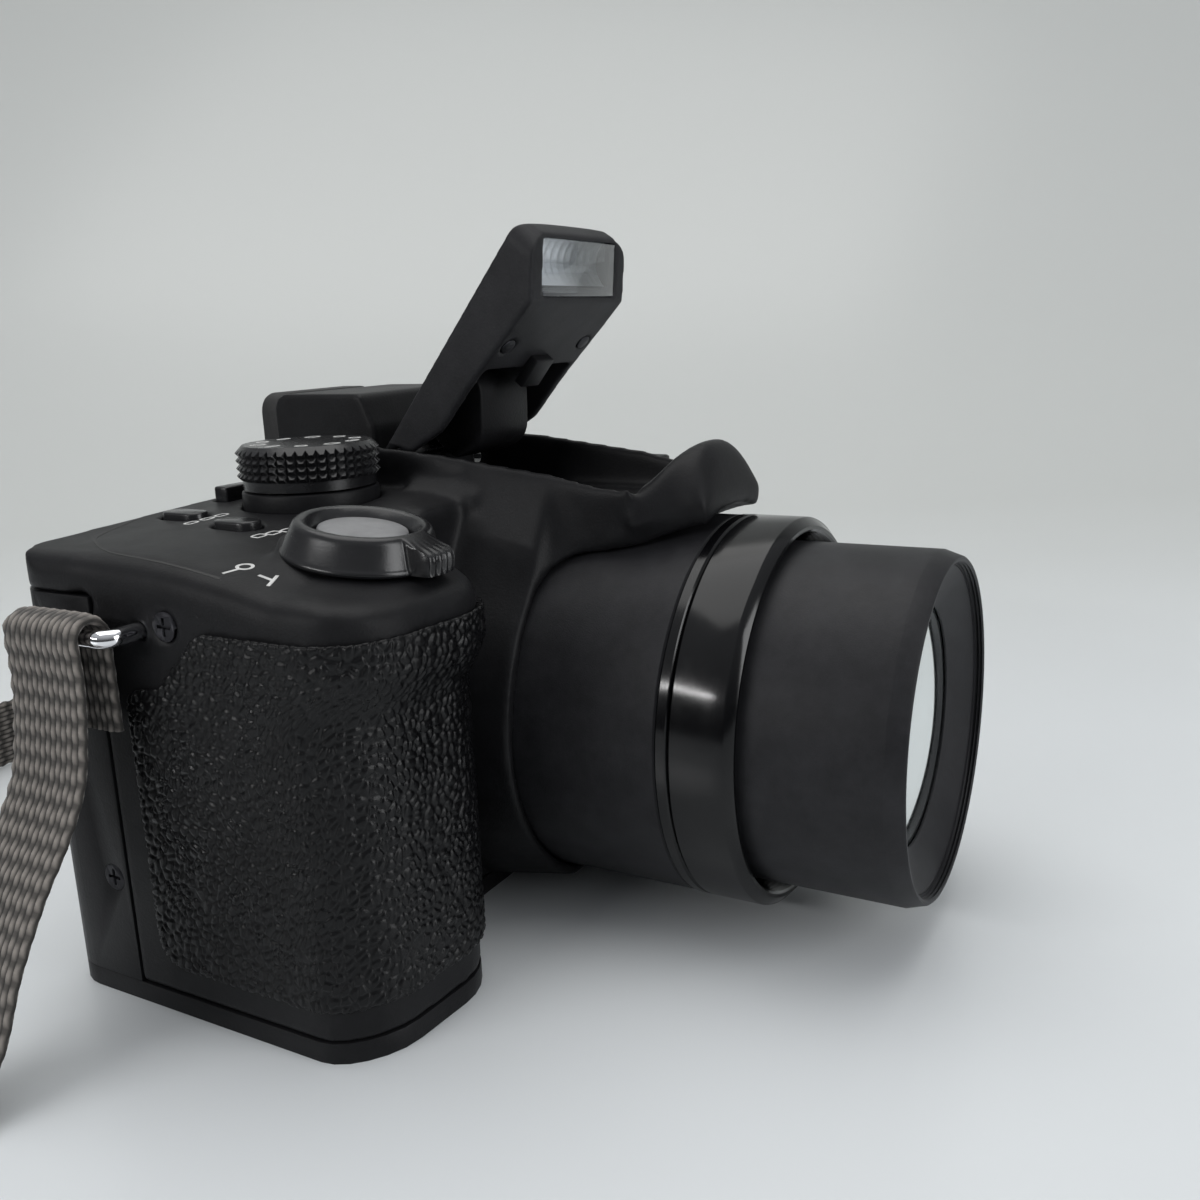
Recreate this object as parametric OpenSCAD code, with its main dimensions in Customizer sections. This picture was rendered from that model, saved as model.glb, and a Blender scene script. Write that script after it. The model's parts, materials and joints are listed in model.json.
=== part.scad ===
// Bridge camera with its long zoom run out and its flash raised.
// Origin: mouth of the tripod socket on the base, +Z up, lens towards -Y, grip on the -X side.

/* [Body] */
// Lens axis to the grip side
grip_side = 62.5; // [60:0.5:66]
// Lens axis to the far side
far_side = 55.1; // [54:0.5:60]
// Tripod axis to the rear face
rear_depth = 28.5; // [27:0.5:32]
// Tripod axis to the front face beside the lens
front_depth = 11; // [9:0.5:13]
// Tripod axis to the front of the grip
grip_depth = 29; // [26:0.5:31]
// Height of the deck at the grip side
deck_h = 59.2; // [58.6:0.1:60.4]
// Rise of the deck from the grip side to the hump
deck_rise = 2.3; // [1.5:0.1:3]
// Wall of the covers
wall = 1.8; // [1.4:0.1:2]
// Height of the bottom cover
base_h = 2.7; // [2.5:0.1:2.8]
// Height of the top cover's side wall below the deck
top_skirt = 4.7; // [4.2:0.1:5.2]
// Joint between front and rear covers, behind the tripod axis
cover_seam = 13.6; // [12.5:0.1:14]
// Thickness of the grip leatherette
grip_skin = 0.7; // [0.4:0.1:1]

/* [Lens] */
// Room between the lens tube and the bottom cover
lens_lift = 1; // [1:0.1:1.6]
// Tripod axis to the front of the adapter ring
ring_front = 55; // [53:0.5:58]
// Step of the adapter ring over the shroud
ring_step = 0.15; // [0.1:0.05:0.8]
// Width of the adapter ring
ring_w = 8.5; // [7:0.5:10]
// Width of the thin trim ring
trim_w = 2; // [1.5:0.1:3]
// Wall of the fixed shroud round the barrel
shroud_wall = 3; // [2.5:0.1:3.4]
// Diameter of the moving barrel
barrel_d = 48.6; // [48:0.1:49]
// Length of the moving barrel
barrel_len = 47; // [44:0.5:47]
// Reach of the barrel past the adapter ring, run out
barrel_reach = 20.5; // [18:0.5:22]
// How far the barrel runs back in
barrel_travel = 20; // [16:0.5:20]
// Wall of the barrel at its filter thread
filter_wall = 1.3; // [1.3:0.1:2.3]
// Depth of the filter thread
filter_depth = 3.5; // [2:0.5:4]
// Width of the bezel round the front glass
bezel_w = 5.3; // [4.3:0.1:7]

/* [Flash] */
// Width of the flash head
flash_w = 23; // [20:0.5:23.5]
// Length of the flash head from its back edge to its tip
flash_len = 42; // [38:0.5:42.5]
// Thickness of the flash head
flash_t = 8; // [7.5:0.1:8.2]
// Angle that the flash head rises from flat
flash_angle = 50.7; // [45:0.1:54]
// Flash hinge behind the tripod axis
flash_pin_y = 4.5; // [4:0.1:5]
// Flash hinge above the base
flash_pin_z = 66.4; // [66:0.1:66.8]
// Diameter of the flash hinge pin
flash_pin_d = 2; // [1.6:0.1:2.2]
// Width of the flash window
window_w = 17.5; // [14:0.5:18]
// Height of the flash window
window_h = 7.6; // [6:0.1:8]

/* [Hump and finder] */
// Half width of the hump at the rim of the flash well
hump_half = 13.6; // [13.4:0.1:14]
// Top of the viewfinder housing
finder_top = 75.3; // [75:0.1:77]
// Width of the eyecup
eyecup_w = 23; // [20:0.5:25]
// How far the eyecup stands out behind the rear face
eyecup_out = 4.6; // [3:0.1:6]
// Diameter of the diopter wheel
diopter_d = 9; // [8:0.5:9]

/* [Controls] */
// Mode dial left of the lens axis
dial_x = 25.5; // [25:0.5:27]
// Mode dial behind the tripod axis
dial_y = 10.7; // [8:0.5:12]
// Diameter of the mode dial
dial_d = 20.2; // [18:0.1:21]
// Height of the mode dial
dial_h = 6.2; // [5:0.1:7]
// Height of the collar under the mode dial
collar_h = 1.2; // [0.8:0.1:2]
// Diameter of the mode dial's shaft
dial_shaft_d = 5; // [4:0.5:6]
// Shutter button left of the lens axis
shutter_x = 44.5; // [43:0.5:46]
// Shutter button in front of the tripod axis
shutter_y = 14.5; // [13:0.5:16]
// Forward slope of the deck under the shutter button
shutter_tilt = 9; // [6:0.5:10]
// Rim diameter of the zoom ring
zoom_d = 15.6; // [14:0.1:17]
// Foot diameter of the zoom ring
zoom_foot_d = 19.6; // [18:0.1:20]
// Height of the zoom ring
zoom_h = 4.4; // [3.5:0.1:5.5]
// Diameter of the shutter button
shutter_d = 11; // [9:0.1:12]
// Travel of the shutter button
shutter_travel = 1; // [0.5:0.1:1.2]
// Length of the two oval buttons
oval_len = 7; // [6:0.1:8]
// Width of the two oval buttons
oval_w = 3.8; // [3:0.1:4.5]
// Stand of the buttons above their cover
button_stand = 0.7; // [0.5:0.1:1]

/* [Screen] */
// Width of the screen window
lcd_w = 58; // [54:0.5:60]
// Screen window below the joint of the top cover
lcd_drop = 3.5; // [2.5:0.5:8]
// Screen centre left of the lens axis
lcd_x = -12; // [-16:0.5:-9]
// Screen window above the base
lcd_foot = 7; // [5:0.5:10]

/* [Power] */
// Battery thickness
battery_w = 18; // [14:0.5:18.5]
// Battery depth, front to rear
battery_l = 35; // [30:0.5:36]
// Battery height
battery_h = 42; // [36:0.5:44]
// Thickness of the battery door
door_t = 2.1; // [1.8:0.1:2.2]
// Diameter of the battery door's pin
door_pin_d = 1.2; // [1:0.1:1.3]
// Diameter of the tripod thread
tripod_d = 6.35; // [6:0.05:6.5]
// Depth of the tripod thread
tripod_depth = 5.5; // [4.5:0.5:6]

/* [Strap] */
// Width of the strap webbing
strap_w = 13; // [10:0.5:13]
// Thickness of the strap webbing
strap_t = 1.6; // [1:0.1:1.8]
// Diameter of the chrome eyelet bar
bar_d = 2.2; // [1.8:0.1:2.4]
// Eyelet bar below the joint of the top cover
bar_drop = 3.5; // [3.5:0.5:4.5]
// Middle of the eyelet bar behind the tripod axis
bar_y = 14; // [13:0.5:15]
// Stand of the eyelet bar off the side
bar_out = 4.5; // [4.2:0.1:5]

/* [Hidden] */
$fn = 64;
// Seat clearance between fixed pieces, and clearance round moving pieces
seat = 0.05;
gap = 0.3;
run_fit = 0.05;
over = 1;

function unit(v) = v / norm(v);
function left_of(v) = [-v[1], v[0]];
function turn(a, b) = a[0] * b[1] - a[1] * b[0];
function wrap(i, n) = (i + n) % n;
function reversed(list) = [for (i = [len(list) - 1 : -1 : 0]) list[i]];

// Moves every side of a counter-clockwise outline inwards by d
function inset(pts, d) =
  let (n = len(pts))
  [for (i = [0 : n - 1])
    let (a = left_of(unit(pts[i] - pts[wrap(i - 1, n)])),
         b = left_of(unit(pts[wrap(i + 1, n)] - pts[i])))
    pts[i] + d * (a + b) / (1 + a * b)];

// Radii that keep the wall even when an outline moves inwards by d
function inset_radii(pts, radii, d) =
  let (n = len(pts))
  [for (i = [0 : n - 1])
    let (bend = turn(pts[i] - pts[wrap(i - 1, n)], pts[wrap(i + 1, n)] - pts[i]))
    max(0.3, radii[i] - d * sign(bend))];

// Arc that replaces the corner q between p and s
function corner_arc(p, q, s, r, steps) =
  let (u = unit(p - q), v = unit(s - q),
       half = acos(u * v) / 2,
       c = q + unit(u + v) * r / sin(half),
       a = q + u * r / tan(half) - c,
       b = q + v * r / tan(half) - c,
       swing = atan2(turn(a, b), a * b))
  [for (k = [0 : steps])
    let (t = swing * k / steps)
    c + [a[0] * cos(t) - a[1] * sin(t), a[0] * sin(t) + a[1] * cos(t)]];

function rounded(pts, radii, steps = 6) =
  let (n = len(pts))
  [for (i = [0 : n - 1])
    each corner_arc(pts[wrap(i - 1, n)], pts[i], pts[wrap(i + 1, n)], radii[i], steps)];

top_seam = deck_h - top_skirt;
bar_z = top_seam - bar_drop;
lcd_h = top_seam - lcd_drop - lcd_foot;
lcd_z = lcd_foot + lcd_h / 2;

// Plan of the body with its grip, counter-clockwise from the rear corner at the grip side
grip_inner = 37;
grip_root = 33;
plan_pts = [[-grip_side, rear_depth], [-grip_side, 2 - grip_depth], [-grip_inner, -grip_depth],
  [-grip_root, -front_depth], [far_side, -front_depth], [far_side, rear_depth]];
plan_radii = [6, 10, 9, 6, 7, 6];
function plan(d) = rounded(inset(plan_pts, d), inset_radii(plan_pts, plan_radii, d));

// Front view of the deck line, and side view with its slope down to the front of the grip
hump_foot = 19;
deck_mid = deck_h + deck_rise;
far_deck_drop = 2.5;
slope_start = -2;
slope_run = grip_depth + slope_start;
slope_drop = slope_run * tan(shutter_tilt);
deck_front_pts = [[-grip_side, -over], [far_side, -over], [far_side, deck_mid - far_deck_drop],
  [hump_foot, deck_mid], [-hump_foot, deck_mid], [-grip_side, deck_h]];
deck_front_radii = [0.3, 0.3, 4, 8, 8, 2.5];
deck_side_pts = [[-grip_depth - over, -over], [rear_depth, -over], [rear_depth, deck_mid + 0.4],
  [slope_start, deck_mid + 0.4], [-grip_depth, deck_mid + 0.4 - slope_drop],
  [-grip_depth, deck_mid - slope_drop - 4]];
deck_side_radii = [0.3, 0.3, 3, 20, 3, 1];

// Height of the deck under a control
function deck_at(x) = deck_h + deck_rise * (grip_side + x) / (grip_side - hump_foot);
shutter_z = min(deck_at(-shutter_x), deck_mid + 0.4 - (shutter_y + slope_start) * tan(shutter_tilt));

// Lens radii and stations along the lens axis
barrel_r = barrel_d / 2;
shroud_r = barrel_r + gap + shroud_wall;
ring_r = shroud_r + ring_step;
filter_d = barrel_d - 2 * filter_wall;
ring_back = -ring_front + ring_w;
trim_back = ring_back + trim_w;
barrel_front = -ring_front - barrel_reach;
barrel_back = barrel_front + barrel_len;
neck_r = shroud_r - 1.1;
tube_wall = 0.9;
tube_r = barrel_r + gap + tube_wall;
axis_h = base_h + lens_lift + tube_r;
tube_stop = barrel_back + barrel_travel + 1;
tube_step = 1.2;
rear_tube_in = 4.3;
rear_tube_r = barrel_r - rear_tube_in;
rear_tube_wall = 1.5;
tube_back = 12;
collar_len = 14;
collar_lip = 1.3;
collar_root = 4;
lens_base_t = 2.4;
sensor_t = 3;
chassis_t = 1.2;
chassis_y = tube_back + lens_base_t + 2 * seat + sensor_t;

// Flash stations, in the frame of the closed head: hinge at the origin, tip towards -Y
flash_back = 2.6;
flash_top = 2.9;
well_half = flash_w / 2 + 0.7;
well_front = -38;
well_floor = 58.1;
collar_top = well_floor - wall;
well_back = flash_pin_y + 4.2;
flash_wall = 1.3;
flash_roof = 1.1;
hollow_front = -19.5;

// Flash head outline from the side when closed: back edge, top, tip, lamp face, underside
flash_tip = -flash_len + flash_back;
flash_pts = [[flash_back, flash_top], [flash_tip, flash_top], [flash_tip - 0.4, flash_top - 3.5],
  [flash_tip + 7, flash_top - flash_t - 0.4], [flash_tip + 13, flash_top - flash_t],
  [-8, flash_top - 7.4], [flash_back - 0.4, flash_top - 3.4]];
flash_radii = [1, 1.6, 0.8, 0.8, 2, 4, 0.8];

// Places a piece of the flash, drawn closed, at its raised rest pose
module raised() {
  translate([0, flash_pin_y, flash_pin_z]) rotate([-flash_angle, 0, 0]) children();
}

// Lays a piece in the frame of the lamp window: origin at its middle, -Y out of the glass
lamp_a = flash_pts[2];
lamp_b = flash_pts[3];
lamp_mid = (lamp_a + lamp_b) / 2;
lamp_lean = atan2(lamp_b[0] - lamp_a[0], lamp_a[1] - lamp_b[1]);
module lamp_frame() {
  translate([0, lamp_mid[0], lamp_mid[1]]) rotate([lamp_lean, 0, 0]) children();
}

// Extrudes a front view (x, z) from y0 to y1, and a side view (y, z) from x0 to x1
module along_y(y0, y1) {
  translate([0, y1, 0]) rotate([90, 0, 0]) linear_extrude(y1 - y0) children();
}
module along_x(x0, x1) {
  translate([x0, 0, 0]) rotate([90, 0, 90]) linear_extrude(x1 - x0) children();
}
module block(a, b) {
  translate(a) cube(b - a);
}
// Turns a profile of (radius, y) points about the lens axis
module lens_turn(pts) {
  translate([0, 0, axis_h]) rotate([90, 0, 0]) rotate_extrude($fn = 96)
    polygon([for (p = pts) [p[0], -p[1]]]);
}
module lens_tube(r0, r1, y0, y1) {
  lens_turn([[r0, y0], [r1, y0], [r1, y1], [r0, y1]]);
}
module lens_rod(r, y0, y1) {
  translate([0, y1, axis_h]) rotate([90, 0, 0]) cylinder(r = r, h = y1 - y0, $fn = 96);
}
module pill(len, w, h) {
  for (s = [-1, 1]) translate([0, s * (len - w) / 2, 0]) cylinder(d = w, h = h);
  translate([-w / 2, -(len - w) / 2, 0]) cube([w, len - w, h]);
}

// Body prism between two heights, its walls moved inwards by d
module body_prism(d, z0, z1) {
  translate([0, 0, z0]) linear_extrude(z1 - z0) polygon(plan(d));
}
module deck_form(d, z0) {
  intersection() {
    body_prism(d, z0, finder_top + over);
    along_y(-grip_depth - over, rear_depth + over)
      polygon(rounded(inset(deck_front_pts, d), inset_radii(deck_front_pts, deck_front_radii, d)));
    along_x(-grip_side - over, far_side + over)
      polygon(rounded(inset(deck_side_pts, d), inset_radii(deck_side_pts, deck_side_radii, d)));
  }
}

// Collar of the front cover round the lens shroud, as a profile grown by d
function collar_pts(d) = [[0, -front_depth + over + d], [shroud_r + collar_root + d, -front_depth + over + d],
  [shroud_r + collar_root + d, -front_depth], [shroud_r + collar_lip + d, -front_depth - collar_len - d],
  [0, -front_depth - collar_len - d]];

// Screw places as [point, direction]
screw_head_d = 3.6;
screw_head_h = 0.9;
screw_d = 1.6;
screw_len = 3.6;
side_screw_at = [[0.9, top_seam - 2.6], [16.2, 17.1]];
base_screw_at = [[46, 20], [46, -5], [-25, 20], [-50, 24]];

module screw(grow) {
  translate([0, 0, -screw_head_h]) cylinder(d = screw_head_d + 2 * grow, h = screw_head_h + grow);
  translate([0, 0, -screw_len]) cylinder(d = screw_d + 2 * grow, h = screw_len);
}
module side_screws(grow) {
  for (p = side_screw_at) translate([-grip_side, p[0], p[1]]) rotate([0, -90, 0]) screw(grow);
}
module base_screws(grow) {
  for (p = base_screw_at) translate([p[0], p[1], 0]) rotate([180, 0, 0]) screw(grow);
}

// Battery bay values shared by the door, its opening and its pin
door_x0 = -grip_side + 3.6;
door_x1 = -grip_inner - 2.5;
door_half = battery_l / 2 + 2;
door_pin_x = door_x1 + 1.4;
door_pin_z = base_h / 2;
knuckle_r = door_pin_d / 2 + 0.55;
pin_tail = 3;

module bottom_cover() {
  color("#161616") difference() {
    body_prism(0, 0, base_h);
    block([door_x0 - gap, -door_half - gap, -over],
      [door_pin_x + knuckle_r + gap, door_half + gap, base_h + over]);
    translate([0, 0, -over]) cylinder(r = bush_r + seat, h = base_h + 2 * over);
    translate([door_pin_x, door_half + pin_tail + seat, door_pin_z]) rotate([90, 0, 0])
      cylinder(d = door_pin_d + 2 * seat, h = 2 * (door_half + pin_tail + seat));
    base_screws(seat);
  }
}

front_well_r = tube_r + gap;
module front_cover() {
  color("#17171a") difference() {
    union() {
      intersection() {
        difference() {
          body_prism(0, base_h + seat, top_seam - seat);
          body_prism(wall, base_h - over, top_seam + over);
        }
        block([-grip_side - over, -grip_depth - over, 0], [far_side + over, cover_seam, top_seam]);
      }
      intersection() {
        lens_turn([for (p = collar_pts(0)) [max(p[0], shroud_r + gap), p[1]]]);
        block([-grip_side, -ring_front, base_h + seat], [far_side, 0, collar_top]);
      }
    }
    lens_rod(front_well_r, -front_depth - over, -front_depth + wall + over);
    side_screws(seat);
    eyelet_legs(seat);
    terminal_bay();
  }
}

module rear_cover() {
  color("#17171a") difference() {
    intersection() {
      difference() {
        body_prism(0, base_h + seat, top_seam - seat);
        body_prism(wall, base_h - over, top_seam + over);
      }
      block([-grip_side - over, cover_seam + seat, 0], [far_side + over, rear_depth + over, top_seam]);
    }
    screen_block(seat, rear_depth - wall - over, rear_depth + over);
    rear_holes();
    side_screws(seat);
    eyelet_legs(seat);
  }
}

// Hump over the lens: viewfinder housing, flash well and overhanging nose
hump_side_pts = [[rear_depth, top_seam], [rear_depth, finder_top], [11, finder_top], [7.4, 67.5],
  [-2.5, 66.7], [-29, 62.7], [-34.8, 62.2], [-38.6, 64.1], [-41, 67.2], [-42.6, 67.6],
  [-44.2, 65], [-45, 59.6], [-36.8, 57], [-27, top_seam]];
hump_side_radii = [0.3, 2.5, 1.5, 1, 12, 6, 4, 3, 1.2, 0.6, 1.6, 0.8, 3, 3];
hump_front_pts = [[-hump_foot, top_seam - 2], [hump_foot, top_seam - 2], [hump_foot, deck_mid - 0.5],
  [hump_half + 0.6, deck_mid + 3.5], [hump_half - 1.6, finder_top + 2], [-hump_half + 1.6, finder_top + 2],
  [-hump_half - 0.6, deck_mid + 3.5], [-hump_foot, deck_mid - 0.5]];
hump_front_radii = [0.3, 0.3, 2, 3, 1, 1, 3, 2];
nose_half = 14.6;
nose_pts = [[-nose_half, top_seam - 2], [nose_half, top_seam - 2], [nose_half, 58.6], [9.8, 64.4],
  [0, 68.2], [-9.8, 64.4], [-nose_half, 58.6]];
nose_radii = [0.3, 0.3, 1.5, 5, 8, 5, 1.5];
nose_start = well_front;
// Plan of the hump on its -X side, from the rear to the nose
hump_plan_half = [[-hump_foot - over, rear_depth + over], [-hump_foot - over, -12], [-16.4, -27],
  [-14.6, -37], [-11, -43.6], [-9, -45.6]];
hump_plan_pts = concat(hump_plan_half, [for (p = reversed(hump_plan_half)) [-p[0], p[1]]]);
hump_plan_radii = [0.3, 6, 8, 6, 2, 1.5, 1.5, 2, 6, 8, 6, 0.3];
rear_hump_half = hump_half - 0.4;

module hump_form() {
  intersection() {
    along_x(-hump_foot - over, hump_foot + over)
      polygon(rounded(reversed(hump_side_pts), reversed(hump_side_radii), 4));
    union() {
      along_y(nose_start, 0) polygon(rounded(hump_front_pts, hump_front_radii, 4));
      along_y(-ring_front, nose_start) polygon(rounded(nose_pts, nose_radii, 4));
      block([-rear_hump_half, -over, top_seam - 2], [rear_hump_half, rear_depth, finder_top + 2]);
    }
    translate([0, 0, top_seam - over]) linear_extrude(finder_top - top_seam + 2 * over)
      polygon(rounded(hump_plan_pts, hump_plan_radii, 4));
  }
}

finder_half = eyecup_w / 2 - 1.6;
finder_floor = 62.5;
finder_front = 11.8;
module top_cover() {
  color("#18181b") difference() {
    union() {
      deck_form(0, top_seam);
      shutter_frame() translate([0, 0, -wall])
        cylinder(d = zoom_foot_d + 2 * shutter_boss, h = wall + shutter_boss);
      difference() {
        intersection() {
          hump_form();
          block([-hump_foot, -ring_front, top_seam], [hump_foot, rear_depth, finder_top + over]);
        }
        lens_rod(shroud_r + gap, -ring_front - over, -front_depth);
        lens_rod(ring_r + gap, -ring_front - over, trim_back + gap);
      }
    }
    intersection() {
      deck_form(wall, top_seam - over);
      union() {
        block([-grip_side, -grip_depth, top_seam - over], [-well_half - wall, rear_depth, finder_top]);
        block([well_half + wall, -grip_depth, top_seam - over], [far_side, rear_depth, finder_top]);
        block([-grip_side, -front_depth, top_seam - over], [far_side, rear_depth, finder_floor - wall]);
      }
    }
    block([-well_half, well_front, well_floor], [well_half, well_back, finder_top + over]);
    block([-arm_half - gap, -front_depth + wall, top_seam - over],
      [arm_half + gap, well_back, finder_top]);
    block([-finder_half, finder_front, finder_floor], [finder_half, rear_depth + over, finder_top - 1.6]);
    translate([0, flash_pin_y, flash_pin_z]) rotate([0, 90, 0])
      cylinder(d = flash_pin_d + 2 * seat, h = 2 * flash_pin_half + 2 * seat, center = true);
    lens_rod(tube_r + gap, -front_depth - over, chassis_y);
    intersection() {
      lens_turn(collar_pts(seat));
      block([-grip_side, -ring_front, 0], [far_side, -front_depth + 2 * over, collar_top + seat]);
    }
    diopter_slot();
    deck_holes();
  }
}

// Leatherette wrapped round the grip, with its cut-away corner by the eyelet
panel_foot = base_h + 4.5;
panel_top = top_seam - 2.7;
panel_cut = panel_top - 7.6;
grip_side_pts = [[-grip_depth - 2, panel_foot], [8.2, panel_foot], [8.2, panel_cut - 0.6], [2.6, panel_cut],
  [-5, panel_top], [-grip_depth - 2, panel_top]];
grip_side_radii = [0.3, 4, 2.5, 3, 3, 0.3];
module grip_panel() {
  color("#0e0e0f") intersection() {
    difference() {
      body_prism(-grip_skin, 1, top_seam);
      body_prism(0, 0, top_seam + over);
    }
    along_x(-grip_side - 2, -grip_root - 3) polygon(rounded(grip_side_pts, grip_side_radii));
  }
}

module cover_screws() {
  color("#2c2c2e") {
    side_screws(0);
    base_screws(0);
  }
}

// Chrome eyelet bars on both sides: two legs into the cover and a bar along the side
bar_half = strap_w / 2 + 0.5;
bar_bend = 1.6;
leg_in = 1.4;
module eyelet(grow) {
  r = bar_d / 2 + grow;
  for (s = [-1, 1]) {
    translate([leg_in, s * (bar_half + bar_bend), 0]) rotate([0, -90, 0])
      cylinder(r = r, h = leg_in + bar_out - bar_bend);
    translate([-bar_out + bar_bend, s * bar_half, 0]) mirror([0, s > 0 ? 0 : 1, 0])
      rotate([0, 0, 90]) rotate_extrude(angle = 90) translate([bar_bend, 0]) circle(r = r);
  }
  translate([-bar_out, bar_half, 0]) rotate([90, 0, 0]) cylinder(r = r, h = 2 * bar_half);
}
module eyelet_legs(grow) {
  for (side = [[-grip_side, 1], [far_side, -1]])
    for (s = [-1, 1])
      translate([side[0] + side[1] * (leg_in + grow), bar_y + s * (bar_half + bar_bend), bar_z])
        rotate([0, -90 * side[1], 0]) cylinder(r = bar_d / 2 + grow, h = leg_in + over);
}
module strap_eyelets() {
  color("#c8cacc") {
    translate([-grip_side, bar_y, bar_z]) eyelet(0);
    translate([far_side, bar_y, bar_z]) mirror([1, 0, 0]) eyelet(0);
  }
}

// Fixed part of the lens
module lens_shroud() {
  color("#1b1b1d") lens_turn([[barrel_r + gap, ring_back - 2], [neck_r, ring_back - 2], [neck_r, trim_back],
    [shroud_r, trim_back], [shroud_r, -front_depth - seat], [tube_r, -front_depth - seat],
    [tube_r, tube_stop + tube_step], [rear_tube_r, tube_stop + tube_step], [rear_tube_r, tube_back],
    [rear_tube_r - rear_tube_wall, tube_back], [rear_tube_r - rear_tube_wall, tube_stop],
    [barrel_r + gap, tube_stop]]);
}
module trim_ring() {
  color("#050505") lens_tube(neck_r + seat, ring_r, ring_back + seat, trim_back - seat);
}
module adapter_ring() {
  color("#050505") lens_turn([[ring_r - 1.8, -ring_front], [ring_r - 0.5, -ring_front],
    [ring_r, -ring_front + 0.5], [ring_r, ring_back], [neck_r + seat, ring_back],
    [neck_r + seat, ring_back - 2 - seat], [ring_r - 1.8, ring_back - 2 - seat]]);
}

// Moving part of the lens
barrel_wall = 2;
bore_r = barrel_r - barrel_wall;
bezel_t = 2.5;
bezel_front = barrel_front + filter_depth;
glass_r = bore_r - bezel_w;
glass_edge = 2.2;
module lens_barrel() {
  color("#1c1c1e") difference() {
    lens_turn([[bore_r, barrel_front], [barrel_r - 0.8, barrel_front], [barrel_r, barrel_front + 0.8],
      [barrel_r, barrel_back], [bore_r, barrel_back]]);
    lens_rod(filter_d / 2, barrel_front - over, bezel_front);
  }
}
module front_bezel() {
  color("#0c0c0d") lens_turn([[glass_r + 0.6, bezel_front + bezel_t + glass_edge],
    [glass_r + 0.6, bezel_front + bezel_t], [glass_r - 0.6, bezel_front + bezel_t],
    [bore_r - 1.2, bezel_front + seat], [bore_r - seat, bezel_front + seat],
    [bore_r - seat, bezel_front + bezel_t + glass_edge]]);
}
// Front glass with a domed face inside the bezel
dome_rise = 2;
dome_r = (glass_r * glass_r + dome_rise * dome_rise) / (2 * dome_rise);
module front_glass() {
  face = bezel_front + bezel_t + seat;
  color("#3a4a52", 0.6) {
    lens_rod(glass_r + 0.6 - seat, face, face + glass_edge - seat);
    intersection() {
      lens_rod(glass_r - 1.4, face - dome_rise, face + 1);
      translate([0, face - dome_rise + 0.8 + dome_r, axis_h]) sphere(r = dome_r, $fn = 96);
    }
  }
}
// Zoom lens cell behind the front glass, held in the barrel
cell_front = barrel_front + 16;
cell_back = cell_front + 6;
cell_lip = 2;
cell_wall = 8.3;
cell_r = bore_r - cell_wall;
module zoom_group() {
  color("#222428") {
    lens_turn([[cell_r - cell_lip, cell_front], [bore_r - seat, cell_front], [bore_r - seat, cell_back],
      [cell_r, cell_back], [cell_r, cell_front + cell_lip], [cell_r - cell_lip, cell_front + cell_lip]]);
    lens_rod(cell_r - seat, cell_front + cell_lip + seat, cell_back);
  }
}
module lens_base() {
  color("#2a2a2c") difference() {
    lens_rod(rear_tube_r, tube_back + seat, tube_back + lens_base_t);
    lens_rod(6, tube_back - over, tube_back + lens_base_t + over);
  }
}
sensor_half_w = 11;
sensor_half_h = 9;
module image_sensor() {
  y0 = tube_back + lens_base_t + seat;
  color("#304038") block([-sensor_half_w, y0, axis_h - sensor_half_h],
    [sensor_half_w, y0 + sensor_t, axis_h + sensor_half_h]);
}
// Zoom motor beside the lens tube, on the chassis
motor_d = 9;
motor_len = 14;
motor_x = tube_r + motor_d / 2 + 2;
motor_z = 12;
motor_shaft_d = 1.5;
pinion_d = 4;
pinion_w = 3;
module zoom_motor() {
  color("#8a8a88") translate([motor_x, chassis_y - seat, motor_z]) rotate([90, 0, 0]) {
    cylinder(d = motor_d, h = motor_len);
    cylinder(d = motor_shaft_d, h = motor_len + 1 + pinion_w);
    translate([0, 0, motor_len + 1]) cylinder(d = pinion_d, h = pinion_w);
  }
}

// Inner frame behind the lens with the pillars of the main board
board_y = chassis_y + chassis_t + 2;
board_t = 1.2;
board_x0 = -30;
inner_far = far_side - wall;
board_x1 = 48;
board_z0 = 5;
board_drop = 2.5;
board_z1 = top_seam - board_drop;
pillar_in = 4;
pillar_at = [for (x = [board_x0 + pillar_in, board_x1 - pillar_in])
  for (z = [board_z0 + pillar_in - 1, board_z1 - pillar_in]) [x, z]];
module chassis() {
  color("#6d7072") {
    difference() {
      block([-grip_root, chassis_y, base_h + seat],
        [inner_far - seat, chassis_y + chassis_t, top_seam - 1]);
      block([2 - sensor_half_w, chassis_y - over, axis_h + 2 - sensor_half_h],
        [sensor_half_w - 2, chassis_y + chassis_t + over, axis_h + sensor_half_h - 2]);
    }
    for (p = pillar_at) translate([p[0], board_y - seat, p[1]]) rotate([90, 0, 0])
      cylinder(d = 4, h = board_y - seat - chassis_y - chassis_t / 2);
  }
}
module main_board() {
  color("#1d5a34") block([board_x0, board_y, board_z0], [board_x1, board_y + board_t, board_z1]);
}
panel_y = board_y + board_t + seat;
module lcd_panel() {
  color("#303236") block([lcd_mid - lcd_w / 2 + 2, panel_y, lcd_z - lcd_h / 2 + 2],
    [lcd_mid + lcd_w / 2 - 2, rear_depth - wall - seat, lcd_z + lcd_h / 2 - 2]);
}
lcd_mid = -lcd_x;
module screen_block(grow, y0, y1) {
  along_y(y0, y1) translate([lcd_mid, lcd_z]) square([lcd_w + 2 * grow, lcd_h + 2 * grow], center = true);
}
module lcd_window() {
  color("#0a0c10") screen_block(0, rear_depth - wall + seat, rear_depth - 0.2);
}

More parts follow.
